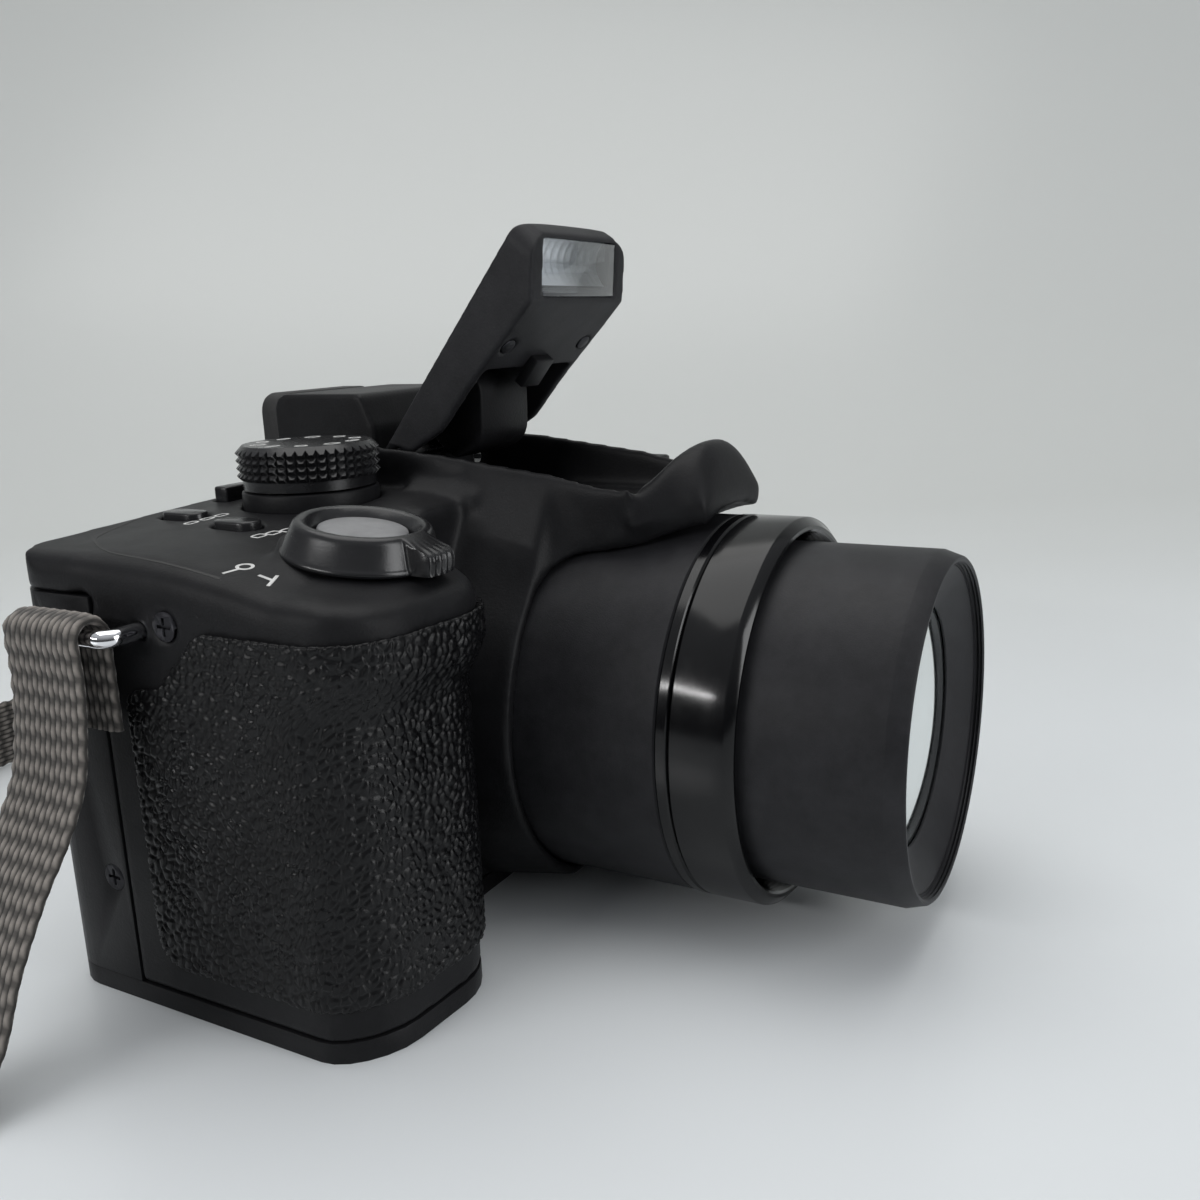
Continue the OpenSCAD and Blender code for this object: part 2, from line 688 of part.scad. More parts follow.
// Power and socket
battery_x0 = door_x0 + 0.6;
battery_z0 = base_h + 0.15;
module battery() {
  color("#4b4d55") block([battery_x0, -battery_l / 2, battery_z0],
    [battery_x0 + battery_w, battery_l / 2, battery_z0 + battery_h]);
}
latch_len = 7;
latch_w = 4;
latch_travel = 2.5;
latch_t = 0.9;
latch_x = door_x0 + 5;
door_z0 = 0.25;
module battery_door() {
  color("#151516") difference() {
    union() {
      block([door_x0, -door_half, door_z0], [door_pin_x - knuckle_r - gap, door_half, door_z0 + door_t]);
      for (s = [-1, 0, 1]) translate([door_pin_x, s * 11 + 3, door_pin_z]) {
        rotate([90, 0, 0]) cylinder(r = knuckle_r, h = 6);
        block([-knuckle_r - 1, -6, -0.6], [0, 0, 0.6]);
      }
    }
    translate([door_pin_x, door_half, door_pin_z]) rotate([90, 0, 0])
      cylinder(d = door_pin_d + 2 * run_fit, h = 2 * door_half);
    block([latch_x - latch_w / 2 - gap, -latch_len / 2 - latch_travel - gap, door_z0 - over],
      [latch_x + latch_w / 2 + gap, latch_len / 2 + gap, door_z0 + latch_t + 0.2]);
  }
}
module battery_door_pin() {
  color("#b5b7b8") translate([door_pin_x, door_half + pin_tail, door_pin_z]) rotate([90, 0, 0])
    cylinder(d = door_pin_d, h = 2 * (door_half + pin_tail));
}
module battery_latch() {
  color("#232325") block([latch_x - latch_w / 2, -latch_len / 2, door_z0 + 0.1],
    [latch_x + latch_w / 2, latch_len / 2, door_z0 + latch_t + 0.1]);
}
card_t = 2.1;
card_h = 32.2;
card_l = 25.45;
card_x = board_x0 - 1.1;
module memory_card() {
  color("#2b3f66") block([card_x - card_t, chassis_y - seat - card_l, base_h + 0.1],
    [card_x, chassis_y - seat, base_h + 0.1 + card_h]);
}
bush_r = 5.5;
bush_h = tripod_depth + 1.2;
module tripod_bush() {
  color("#a9a48e") difference() {
    cylinder(r = bush_r, h = bush_h);
    translate([0, 0, -over]) cylinder(d = tripod_d, h = tripod_depth + over);
  }
}
capacitor_d = 13;
capacitor_len = 18;
capacitor_z = 38;
module flash_capacitor() {
  color("#23242c") translate([inner_far - seat - capacitor_d / 2, chassis_y - seat, capacitor_z])
    rotate([90, 0, 0]) cylinder(d = capacitor_d, h = capacitor_len);
}

// Flash head: hollow shell with side walls, lamp box and hinge ears
arm_half = 6.5;
flash_pin_half = flash_w / 2 + 1.6;
ear_r = 2.4;
screw_in = -24;
window_t = 1.2;
lamp_deep = 6.5;
module flash_outline(d) {
  polygon(rounded(inset(flash_pts, d), inset_radii(flash_pts, flash_radii, d), 4));
}
module flash_head() {
  color("#1a1a1d") raised() difference() {
    union() {
      along_x(-flash_w / 2, flash_w / 2) flash_outline(0);
      rotate([0, 90, 0]) cylinder(r = ear_r, h = flash_w, center = true);
    }
    block([-flash_w / 2 + flash_wall, hollow_front, -over - flash_t],
      [flash_w / 2 - flash_wall, over + flash_back, flash_top - flash_roof]);
    rotate([0, 90, 0]) cylinder(d = flash_pin_d + 2 * run_fit, h = flash_w + 2, center = true);
    lamp_frame() {
      block([-window_w / 2 - seat, -over, -window_h / 2 - seat],
        [window_w / 2 + seat, window_t + seat, window_h / 2 + seat]);
      block([-window_w / 2 + 1, 0, -window_h / 2 + 1], [window_w / 2 - 1, lamp_deep, window_h / 2 - 1]);
    }
    flash_screw_places(seat);
  }
}
// Hinge arm under the head: half-round block between the side walls
arm_front = -15;
arm_top = flash_top - flash_roof - seat;
module flash_arm() {
  color("#141416") raised() difference() {
    along_x(-arm_half, arm_half) polygon(rounded([[arm_front, arm_top], [arm_front, -2.5],
      [-7.5, -8.2], [-2.5, -5.5], [-2.6, arm_top]], [0.3, 4, 4, 2, 0.3], 5));
    rotate([0, 90, 0]) cylinder(r = ear_r + gap, h = flash_w + 2, center = true);
  }
}
module flash_window() {
  color("#d8dee2", 0.7) raised() lamp_frame()
    block([-window_w / 2, 0.1, -window_h / 2], [window_w / 2, window_t, window_h / 2]);
}
module flash_reflector() {
  color("#d0d2d4") raised() lamp_frame() difference() {
    block([-window_w / 2 + 1 + seat, window_t + seat, -window_h / 2 + 1 + seat],
      [window_w / 2 - 1 - seat, lamp_deep - seat, window_h / 2 - 1 - seat]);
    translate([0, window_t, 0]) rotate([0, 90, 0])
      cylinder(r = window_h / 2 - 1.6, h = window_w - 4, center = true);
  }
}
tube_d = 2;
module flash_tube() {
  color("#eef2f4") raised() lamp_frame() translate([0, 2.4, 0]) rotate([0, 90, 0])
    cylinder(d = tube_d, h = window_w - 4 - 2 * seat, center = true);
}
// Latch hook under the head, which catches in the well
hook_w = 5;
module flash_hook() {
  color("#101012") raised() block([-hook_w / 2, hollow_front - hook_w / 2, flash_top - flash_t - 1.6],
    [hook_w / 2, hollow_front + hook_w / 2, flash_top - flash_t - 0.02]);
}
module flash_screw_places(grow) {
  for (s = [-1, 1]) translate([s * (flash_w / 2 - 2.4), screw_in, flash_top - flash_t])
    rotate([180, 0, 0]) {
      translate([0, 0, -0.8]) cylinder(d = 2.4 + 2 * grow, h = 2);
      translate([0, 0, -3.4]) cylinder(d = 1.2 + 2 * grow, h = 3.4);
    }
}
module flash_screws() {
  color("#8d8f91") raised() intersection() {
    flash_screw_places(0);
    block([-flash_w, -flash_len, flash_top - flash_t], [flash_w, 0, flash_top]);
  }
}
module flash_pin() {
  color("#b5b7b8") translate([0, flash_pin_y, flash_pin_z]) rotate([0, 90, 0])
    cylinder(d = flash_pin_d, h = 2 * flash_pin_half, center = true);
}
// Torsion spring on the hinge pin, wound as one unbroken tube
spring_wire = 0.5;
spring_turns = 5;
spring_pitch = 0.95;
spring_r = flash_pin_d / 2 + spring_wire / 2 + 0.15;
spring_steps = 8 * spring_turns;
spring_sides = 6;
function spring_at(k) =
  let (a = 360 * k / 8)
  [-spring_turns * spring_pitch / 2 + spring_pitch * k / 8,
   flash_pin_y + spring_r * cos(a), flash_pin_z + spring_r * sin(a)];
spring_path = [for (k = [0 : spring_steps]) spring_at(k)];

// Sweeps a section of (across, up) points along a path with a width direction at each point
module sweep(path, widths, section) {
  n = len(path);
  m = len(section);
  rings = [for (i = [0 : n - 1])
    let (t = unit(path[min(i + 1, n - 1)] - path[max(i - 1, 0)]),
         w = unit(widths[i] - t * (widths[i] * t)),
         u = cross(t, w))
    [for (s = section) path[i] + s[0] * w + s[1] * u]];
  points = [for (r = rings) each r];
  side_faces = [for (i = [0 : n - 2], j = [0 : m - 1])
    let (a = i * m + j, b = i * m + (j + 1) % m)
    each [[a, a + m, b], [b, a + m, b + m]]];
  cap0 = [for (j = [1 : m - 2]) [0, j, j + 1]];
  cap1 = [for (j = [1 : m - 2]) [(n - 1) * m, (n - 1) * m + j + 1, (n - 1) * m + j]];
  polyhedron(points, concat(side_faces, cap0, cap1), convexity = 10);
}
module flash_spring() {
  color("#9a9c9e") sweep(spring_path, [for (p = spring_path) [1, 0, 0]],
    [for (j = [0 : spring_sides - 1])
      let (a = 360 * j / spring_sides) spring_wire / 2 * [cos(a), sin(a)]]);
}

// Viewfinder
eyecup_z0 = 63;
module eyecup() {
  color("#0f0f10") difference() {
    along_y(rear_depth + seat, rear_depth + eyecup_out) polygon(rounded(
      [[-eyecup_w / 2, eyecup_z0], [eyecup_w / 2, eyecup_z0], [eyecup_w / 2, finder_top],
      [-eyecup_w / 2, finder_top]], [3, 3, 3, 3]));
    block([-7, rear_depth - over, eyecup_z0 + 2.6], [7, rear_depth + eyecup_out + over, finder_top - 2.6]);
  }
}
module eyepiece() {
  color("#26343c", 0.7) block([-finder_half + seat, rear_depth - 2.4, finder_floor + seat],
    [finder_half - seat, rear_depth - 0.4, finder_top - 1.6 - seat]);
}
module finder_display() {
  color("#2a2c30") block([-finder_half + seat, finder_front + seat, finder_floor + seat],
    [finder_half - seat, finder_front + 3, finder_top - 1.6 - seat]);
}
// Diopter wheel in a slot on the far side of the viewfinder housing
diopter_y = 20;
diopter_z = 68.6;
diopter_t = 2;
diopter_axle_d = 2;
module diopter_slot() {
  translate([rear_hump_half - diopter_t - gap, diopter_y, diopter_z]) rotate([0, 90, 0])
    cylinder(d = diopter_d + 2 * gap, h = diopter_t + gap + over);
  translate([finder_half - over, diopter_y, diopter_z]) rotate([0, 90, 0])
    cylinder(d = diopter_axle_d + 2 * run_fit, h = rear_hump_half - finder_half);
}
module diopter_wheel() {
  color("#1d1d1f") translate([rear_hump_half - diopter_t, diopter_y, diopter_z]) rotate([0, 90, 0]) {
    cylinder(d = diopter_d, h = diopter_t + 0.6);
    translate([0, 0, finder_half + gap - rear_hump_half + diopter_t])
      cylinder(d = diopter_axle_d, h = rear_hump_half - diopter_t - finder_half);
  }
}

// Top controls
dial_foot = deck_mid + 0.2;
knurl_rows = 4;
knurl_count = 44;
knurl_deep = 0.5;
knurl_half = 0.62;
band_h = 1.4;
module dial_collar() {
  color("#131315") difference() {
    translate([-dial_x, dial_y, dial_foot - 2.2]) cylinder(d = dial_d - 0.8, h = 2.2 + collar_h);
    translate([-dial_x, dial_y, dial_foot - 3]) cylinder(d = dial_shaft_d + 2 * run_fit, h = 6);
  }
}
module mode_dial() {
  z0 = dial_foot + collar_h + gap;
  row_h = (dial_h - band_h - 0.5) / knurl_rows;
  color("#1f1f22") translate([-dial_x, dial_y, 0]) {
    translate([0, 0, z0]) difference() {
      rotate_extrude() polygon(concat(
        [[0, 0], [dial_d / 2 - 0.7, 0], [dial_d / 2 - 0.7, band_h]],
        [for (i = [0 : knurl_rows - 1]) each [[dial_d / 2 - knurl_deep, band_h + i * row_h],
          [dial_d / 2, band_h + (i + 0.5) * row_h]]],
        [[dial_d / 2 - knurl_deep, dial_h - 0.5], [dial_d / 2 - 1, dial_h], [0, dial_h]]));
      for (k = [0 : knurl_count - 1]) rotate([0, 0, 360 * k / knurl_count])
        translate([0, 0, band_h - 0.3]) linear_extrude(dial_h)
          polygon([[dial_d / 2 - knurl_deep - 0.1, 0], [dial_d / 2 + 0.2, -knurl_half],
            [dial_d / 2 + 0.2, knurl_half]]);
    }
    translate([0, 0, dial_foot - 4.5]) cylinder(d = dial_shaft_d, h = 4.5 + collar_h + gap + over);
  }
}

// Shutter group, on an axis that leans forward with the deck
module shutter_frame() {
  translate([-shutter_x, -shutter_y, shutter_z]) rotate([shutter_tilt, 0, 0]) children();
}
tab_reach = 12.4;
tab_w = 6;
shutter_boss = 0.6;
skirt_h = shutter_boss + gap;
stem_d = 4;
cup_floor = 1.6;
shutter_crown = 34;
module zoom_ring() {
  color("#111113") shutter_frame() translate([0, 0, skirt_h]) difference() {
    union() {
      rotate_extrude() polygon([[0, 0], [zoom_foot_d / 2, 0], [zoom_foot_d / 2, 0.6],
        [zoom_d / 2 + 0.3, zoom_h - 0.4], [zoom_d / 2, zoom_h], [0, zoom_h]]);
      intersection() {
        translate([-tab_w / 2, -tab_reach, 0.3]) cube([tab_w, tab_reach, zoom_h - 1.4]);
        cylinder(r = tab_reach, h = zoom_h);
      }
    }
    translate([0, 0, cup_floor]) cylinder(d = shutter_d + 2 * gap, h = zoom_h);
    translate([0, 0, -over]) cylinder(d = stem_d + 2 * gap, h = zoom_h);
  }
}
module shutter_button() {
  color("#55565a") shutter_frame() {
    intersection() {
      translate([0, 0, skirt_h + cup_floor + shutter_travel + 0.2])
        cylinder(d = shutter_d, h = zoom_h - 2 - shutter_travel);
      translate([0, 0, skirt_h + zoom_h - 0.5 - shutter_crown]) sphere(r = shutter_crown, $fn = 96);
    }
    translate([0, 0, -wall - 3]) cylinder(d = stem_d, h = wall + 3 + skirt_h + 2 + shutter_travel);
  }
}
oval_at = [[-42.6, 8.2], [-39.8, 21]];
module oval(i, grow) {
  translate([oval_at[i][0], oval_at[i][1], deck_at(oval_at[i][0])])
    translate([0, 0, -wall - 2]) pill(oval_len + 2 * grow, oval_w + 2 * grow, wall + 2 + button_stand);
}
module focus_button() { color("#19191c") oval(0, 0); }
module burst_button() { color("#19191c") oval(1, 0); }

// Power switch slides in a slot behind the dial, on the deck's rear edge
switch_at = [-27, 24.4];
switch_len = 6;
switch_w = 2.6;
switch_travel = 3;
module power_switch() {
  color("#2a2a2d") translate([switch_at[0], switch_at[1], deck_mid - wall - 1.2])
    translate([-switch_len / 2, -switch_w / 2, 0]) cube([switch_len, switch_w, wall + 1.2 + 1.5]);
}
flash_button_at = [26, 16];
flash_button_d = 5;
module flash_button() {
  color("#222225") translate([flash_button_at[0], flash_button_at[1], deck_mid - wall - 3])
    cylinder(d = flash_button_d, h = wall + 3 + button_stand);
}
module deck_holes() {
  translate([-dial_x, dial_y, dial_foot - 2.2 - seat]) cylinder(d = dial_d - 0.8 + 2 * seat, h = 6);
  translate([-dial_x, dial_y, dial_foot - 6]) cylinder(d = dial_shaft_d + 2 * gap, h = 6);
  shutter_frame() {
    translate([0, 0, shutter_boss]) cylinder(d = zoom_foot_d + 2 * shutter_boss, h = 8);
    translate([0, 0, -8]) cylinder(d = stem_d + 2 * run_fit, h = 10);
  }
  for (i = [0, 1]) oval(i, gap);
  translate([switch_at[0] - switch_len / 2 - gap, switch_at[1] - switch_w / 2 - gap, deck_mid - wall - 3])
    cube([switch_len + switch_travel + 2 * gap, switch_w + 2 * gap, wall + 6]);
  translate([flash_button_at[0], flash_button_at[1], deck_mid - wall - 4])
    cylinder(d = flash_button_d + 2 * gap, h = wall + 6);
}

// Rear controls, pressed towards -Y
pad_x = -grip_side + 17.5;
pad_at = [pad_x, 22];
pad_d = 18;
foot_row_z = 8.5;
lock_drop = 12.5;
menu_drop = 5.5;
rear_buttons = [[pad_x, top_seam - lock_drop], [pad_x - 5, foot_row_z], [pad_x + 6.5, foot_row_z],
  [pad_x + 16, top_seam - menu_drop]];
rear_button_d = 5.4;
module rear_button(p, d, grow) {
  translate([p[0], rear_depth + button_stand, p[1]]) rotate([90, 0, 0])
    cylinder(d = d + 2 * grow, h = button_stand + wall + 0.8);
}
module rear_holes() {
  rear_button(pad_at, pad_d, gap);
  for (p = rear_buttons) rear_button(p, rear_button_d, gap);
}
module cursor_pad() { color("#202023") rear_button(pad_at, pad_d, 0); }
module lock_button() { color("#202023") rear_button(rear_buttons[0], rear_button_d, 0); }
module display_button() { color("#202023") rear_button(rear_buttons[1], rear_button_d, 0); }
module delete_button() { color("#202023") rear_button(rear_buttons[2], rear_button_d, 0); }
module menu_button() { color("#202023") rear_button(rear_buttons[3], rear_button_d, 0); }

// Terminal door on the far side, hinged along its rear edge
bay_y0 = -3.6;
bay_y1 = 5.8;
bay_z0 = 13;
bay_z1 = 40;
terminal_t = 1.2;
terminal_pin_d = 0.6;
terminal_knuckle = 0.65;
terminal_pin_x = far_side - 0.75;
terminal_pin_y = bay_y1 - 0.2;
module terminal_bay() {
  block([far_side - 1.5, bay_y0 - gap, bay_z0 - gap],
    [far_side + over, terminal_pin_y + terminal_knuckle + 1.1, bay_z1 + gap]);
  block([far_side - wall - over, bay_y0 + 2, bay_z0 + 3], [far_side, bay_y1 - 3, bay_z1 - 3]);
}
module terminal_door() {
  color("#1a1a1c") difference() {
    union() {
      block([far_side - terminal_t - 0.1, bay_y0, bay_z0], [far_side - 0.1, bay_y1 - 1.2, bay_z1]);
      block([far_side - terminal_t + 0.1, bay_y1 - 1.5, bay_z0], [far_side - 0.3, terminal_pin_y, bay_z1]);
      translate([terminal_pin_x, terminal_pin_y, bay_z0])
        cylinder(r = terminal_knuckle, h = bay_z1 - bay_z0);
    }
    translate([terminal_pin_x, terminal_pin_y, bay_z0 - over])
      cylinder(d = terminal_pin_d + 2 * run_fit, h = bay_z1 - bay_z0 + 2 * over);
  }
}
module terminal_pin() {
  color("#b5b7b8") translate([terminal_pin_x, terminal_pin_y, bay_z0 - gap])
    cylinder(d = terminal_pin_d, h = bay_z1 - bay_z0 + 2 * gap);
}

// Neck strap. Each stretch starts with a tail inside the eyelet, turns over the bar, hangs to the
// table and turns onto its edge there; the middle of the strap is rolled up behind the camera.
strap_clear = 0.3;
over_bar = bar_d / 2 + strap_clear + strap_t / 2;
tail_len = 22;
upright = [0, 0, 1];

// Height of the strap's middle on the table when its width leans up by 90 degrees times v
function rest_z(v) = strap_w / 2 * sin(90 * v) + strap_t / 2 * cos(90 * v) + strap_clear;
function on_table(list) = [for (p = list) [p[0], p[1], rest_z(p[2]), p[2]]];

// Tail and turn over the bar, as [out from the side, y, z, lean]
strap_top = concat(
  [for (f = [1, 0.6, 0.25]) [bar_out - over_bar, bar_y, bar_z - tail_len * f, 0]],
  [for (a = [0 : 30 : 180]) [bar_out - over_bar * cos(a), bar_y, bar_z + over_bar * sin(a), 0]]);
right_hang = [[6.6, 14, 46, 0], [7.2, 14, 40, 0], [8.5, 14, 34, 0], [11.5, 14, 28.5, 0], [15.5, 14, 23, 0],
  [19.8, 14, 15.6, 0], [23, 14.2, 8, 0], [27, 15, 3, 0]];
right_table = [[34, 17.5, 0], [41, 23, 0.15], [46.5, 31, 0.4], [49, 41, 0.7], [48.5, 53, 0.9], [44, 66, 1],
  [34.5, 80, 1], [20, 93.5, 1], [2, 104, 1], [-20, 110, 1], [-42, 111.5, 1]];
left_hang = [[6.6, 14, 46, 0], [7.2, 14, 40, 0], [8.6, 14, 33, 0], [11, 14.4, 26, 0], [15, 15, 19, 0],
  [19, 16, 12, 0], [23, 17.5, 5.5, 0]];
left_table = [[29, 20.5, 0.05], [34, 26, 0.3], [35.5, 33, 0.6], [33, 40.5, 0.9], [26, 47, 1], [15, 51, 1]];

// Roll: two spiral arms from the middle outwards, joined by an S, each with a straight end
roll_x = 24;
roll_y = 82;
roll_core = 12;
roll_pitch = 10;
roll_turns = 1.75;
roll_steps = 32;
roll_z = rest_z(1);
roll_end = roll_core + roll_pitch * roll_turns;
lead_out = strap_w;
lead_step = 6;
function roll_face(side) = (side > 0 ? 270 : 90) - 360 * roll_turns;
function roll_arm(side) = [for (k = [0 : roll_steps * roll_turns])
  let (r = roll_core + roll_pitch * k / roll_steps, a = roll_face(side) + 360 * k / roll_steps)
  [roll_x + r * cos(a), roll_y + r * sin(a), roll_z]];
function roll_bend(side) =
  let (face = roll_face(side), c = roll_core / 2)
  [for (k = [1 : 7])
    let (a = face + 180 + 180 * k / 8)
    [roll_x + c * cos(face) + c * cos(a), roll_y + c * sin(face) + c * sin(a), roll_z]];
function roll_lead(side) = [for (f = [0.5, 1])
  [roll_x + side * lead_out * f, roll_y - side * roll_end, roll_z]];
roll_path = concat(reversed(roll_lead(1)), reversed(roll_arm(1)), reversed(roll_bend(1)),
  [[roll_x, roll_y, roll_z]], roll_bend(-1), roll_arm(-1), roll_lead(-1));

// Catmull-Rom points between the chosen ones
function between(p0, p1, p2, p3, t) =
  0.5 * (2 * p1 + (p2 - p0) * t + (2 * p0 - 5 * p1 + 4 * p2 - p3) * t * t
    + (3 * p1 - p0 - 3 * p2 + p3) * t * t * t);
function smooth(list, steps) =
  let (n = len(list))
  concat([for (i = [0 : n - 2], k = [0 : steps - 1])
    between(list[max(i - 1, 0)], list[i], list[i + 1], list[min(i + 2, n - 1)], k / steps)],
    [list[n - 1]]);

// Least distance from a point to the legs of a path that lie more than skip points away from it
function leg_gap(p, a, b) =
  let (t = max(0, min(1, (p - a) * (b - a) / ((b - a) * (b - a)))))
  norm(p - a - t * (b - a));
function least_gap(path, skip) = min([for (i = [0 : len(path) - 1], j = [0 : len(path) - 2])
  if (abs(i - j) > skip && abs(i - j - 1) > skip) leg_gap(path[i], path[j], path[j + 1])]);
echo(roll_gap = least_gap(roll_path, 12) - strap_t);
echo(spring_gap = least_gap(spring_path, 4) - spring_wire);
echo(stretch_gap = over_bar * 2 - strap_t);

strap_section = [for (s = [[-0.5, -0.3], [-0.44, -0.5], [0.44, -0.5], [0.5, -0.3], [0.5, 0.3],
  [0.44, 0.5], [-0.44, 0.5], [-0.5, 0.3]]) [s[0] * strap_w, s[1] * strap_t]];

// A stretch ends in three points in line with the straight end of the roll that it meets
function stretch_points(hang, table, side, edge) = smooth(concat(strap_top, hang, on_table(table),
  [for (k = [2, 1, 0])
    [side * (roll_x - edge) + lead_out + lead_step * k, roll_y - side * roll_end, roll_z, 1]]), 2);
function stretch_width(pts, i, side) =
  let (n = len(pts), step = pts[min(i + 1, n - 1)] - pts[max(i - 1, 0)], v = max(0, min(1, pts[i][3])),
       flat = v > 0 ? unit(left_of([step[0], step[1]])) : [0, 1])
  [side * flat[0], flat[1], 0] * cos(90 * v) + upright * sin(90 * v);
module strap_stretch(hang, table, side, edge) {
  pts = stretch_points(hang, table, side, edge);
  path = [for (p = pts) [edge + side * p[0], p[1], p[2]]];
  widths = [for (i = [0 : len(pts) - 1]) stretch_width(pts, i, side)];
  sweep(path, widths, strap_section);
}
module strap_right() {
  color("#6f675d") strap_stretch(right_hang, right_table, -1, -grip_side);
}
module strap_left() {
  color("#6f675d") strap_stretch(left_hang, left_table, 1, far_side);
}
module strap_roll() {
  color("#6f675d") sweep(roll_path, [for (p = roll_path) upright], strap_section);
}

bottom_cover();
front_cover();
rear_cover();
top_cover();
grip_panel();
cover_screws();
strap_eyelets();
lens_shroud();
trim_ring();
adapter_ring();
lens_barrel();
front_bezel();
front_glass();
zoom_group();
lens_base();
image_sensor();
zoom_motor();
chassis();
main_board();
lcd_panel();
lcd_window();
battery();
battery_door();
battery_door_pin();
battery_latch();
memory_card();
tripod_bush();
flash_capacitor();
flash_head();
flash_arm();
flash_window();
flash_reflector();
flash_tube();
flash_hook();
flash_screws();
flash_pin();
flash_spring();
eyecup();
eyepiece();
finder_display();
diopter_wheel();
mode_dial();
dial_collar();
zoom_ring();
shutter_button();
focus_button();
burst_button();
power_switch();
flash_button();
cursor_pad();
menu_button();
display_button();
delete_button();
lock_button();
terminal_door();
terminal_pin();
strap_right();
strap_roll();
strap_left();
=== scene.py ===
# Looks of the bridge camera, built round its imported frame. Metres, same frame as the CAD.
import json
import math
from itertools import product

import bmesh
import bpy
import numpy as np
from mathutils import Matrix, Vector
from mathutils.bvhtree import BVHTree


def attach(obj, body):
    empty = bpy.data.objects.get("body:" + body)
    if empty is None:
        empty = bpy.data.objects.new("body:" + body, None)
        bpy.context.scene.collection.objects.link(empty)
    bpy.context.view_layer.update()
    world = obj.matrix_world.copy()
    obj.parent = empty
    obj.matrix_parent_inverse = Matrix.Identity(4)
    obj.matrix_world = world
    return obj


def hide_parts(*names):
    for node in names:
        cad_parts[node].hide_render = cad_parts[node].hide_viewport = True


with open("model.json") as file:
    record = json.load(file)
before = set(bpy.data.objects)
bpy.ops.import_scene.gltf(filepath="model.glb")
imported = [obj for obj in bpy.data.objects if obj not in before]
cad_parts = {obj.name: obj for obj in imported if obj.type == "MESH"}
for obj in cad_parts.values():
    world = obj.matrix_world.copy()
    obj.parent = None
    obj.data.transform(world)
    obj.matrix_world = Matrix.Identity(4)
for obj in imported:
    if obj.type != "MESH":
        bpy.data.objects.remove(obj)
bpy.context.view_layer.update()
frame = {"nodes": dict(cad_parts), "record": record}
NODES = frame["nodes"]
BODY_OF = {n: b for b, ns in frame["record"]["behaviour"]["bodies"].items() for n in ns}
SLOT_OF = {s["node"]: s["material_slot"] for s in frame["record"]["subparts"]}
MM = 0.001


# Camera at the photograph's viewing angle
CAMERA_AT = Vector((-150.78, -106.55, 84.06)) * MM
AZIMUTH, ELEVATION, ROLL = (math.radians(a) for a in (-60.78, 13.42, -2.21))
FOCAL_PX, FRAME_PX, SENSOR_MM = 1151.74, 1200, 36
CLIP_NEAR, CLIP_FAR = 0.01, 20


def make_camera():
    back = Vector((math.sin(AZIMUTH) * math.cos(ELEVATION), -math.cos(AZIMUTH) * math.cos(ELEVATION),
                   math.sin(ELEVATION)))
    right = (-back).cross(Vector((0, 0, 1))).normalized()
    up = right.cross(-back)
    c, s = math.cos(ROLL), math.sin(ROLL)
    right, up = c * right + s * up, c * up - s * right
    data = bpy.data.cameras.new("camera")
    data.sensor_width = SENSOR_MM
    data.lens = FOCAL_PX / FRAME_PX * SENSOR_MM
    data.clip_start = CLIP_NEAR
    data.clip_end = CLIP_FAR
    camera = bpy.data.objects.new("camera", data)
    camera.matrix_world = Matrix.Translation(CAMERA_AT) @ Matrix((right, up, back)).transposed().to_4x4()
    bpy.context.scene.collection.objects.link(camera)
    bpy.context.scene.camera = camera


make_camera()
bpy.context.scene.view_settings.view_transform = "Standard"


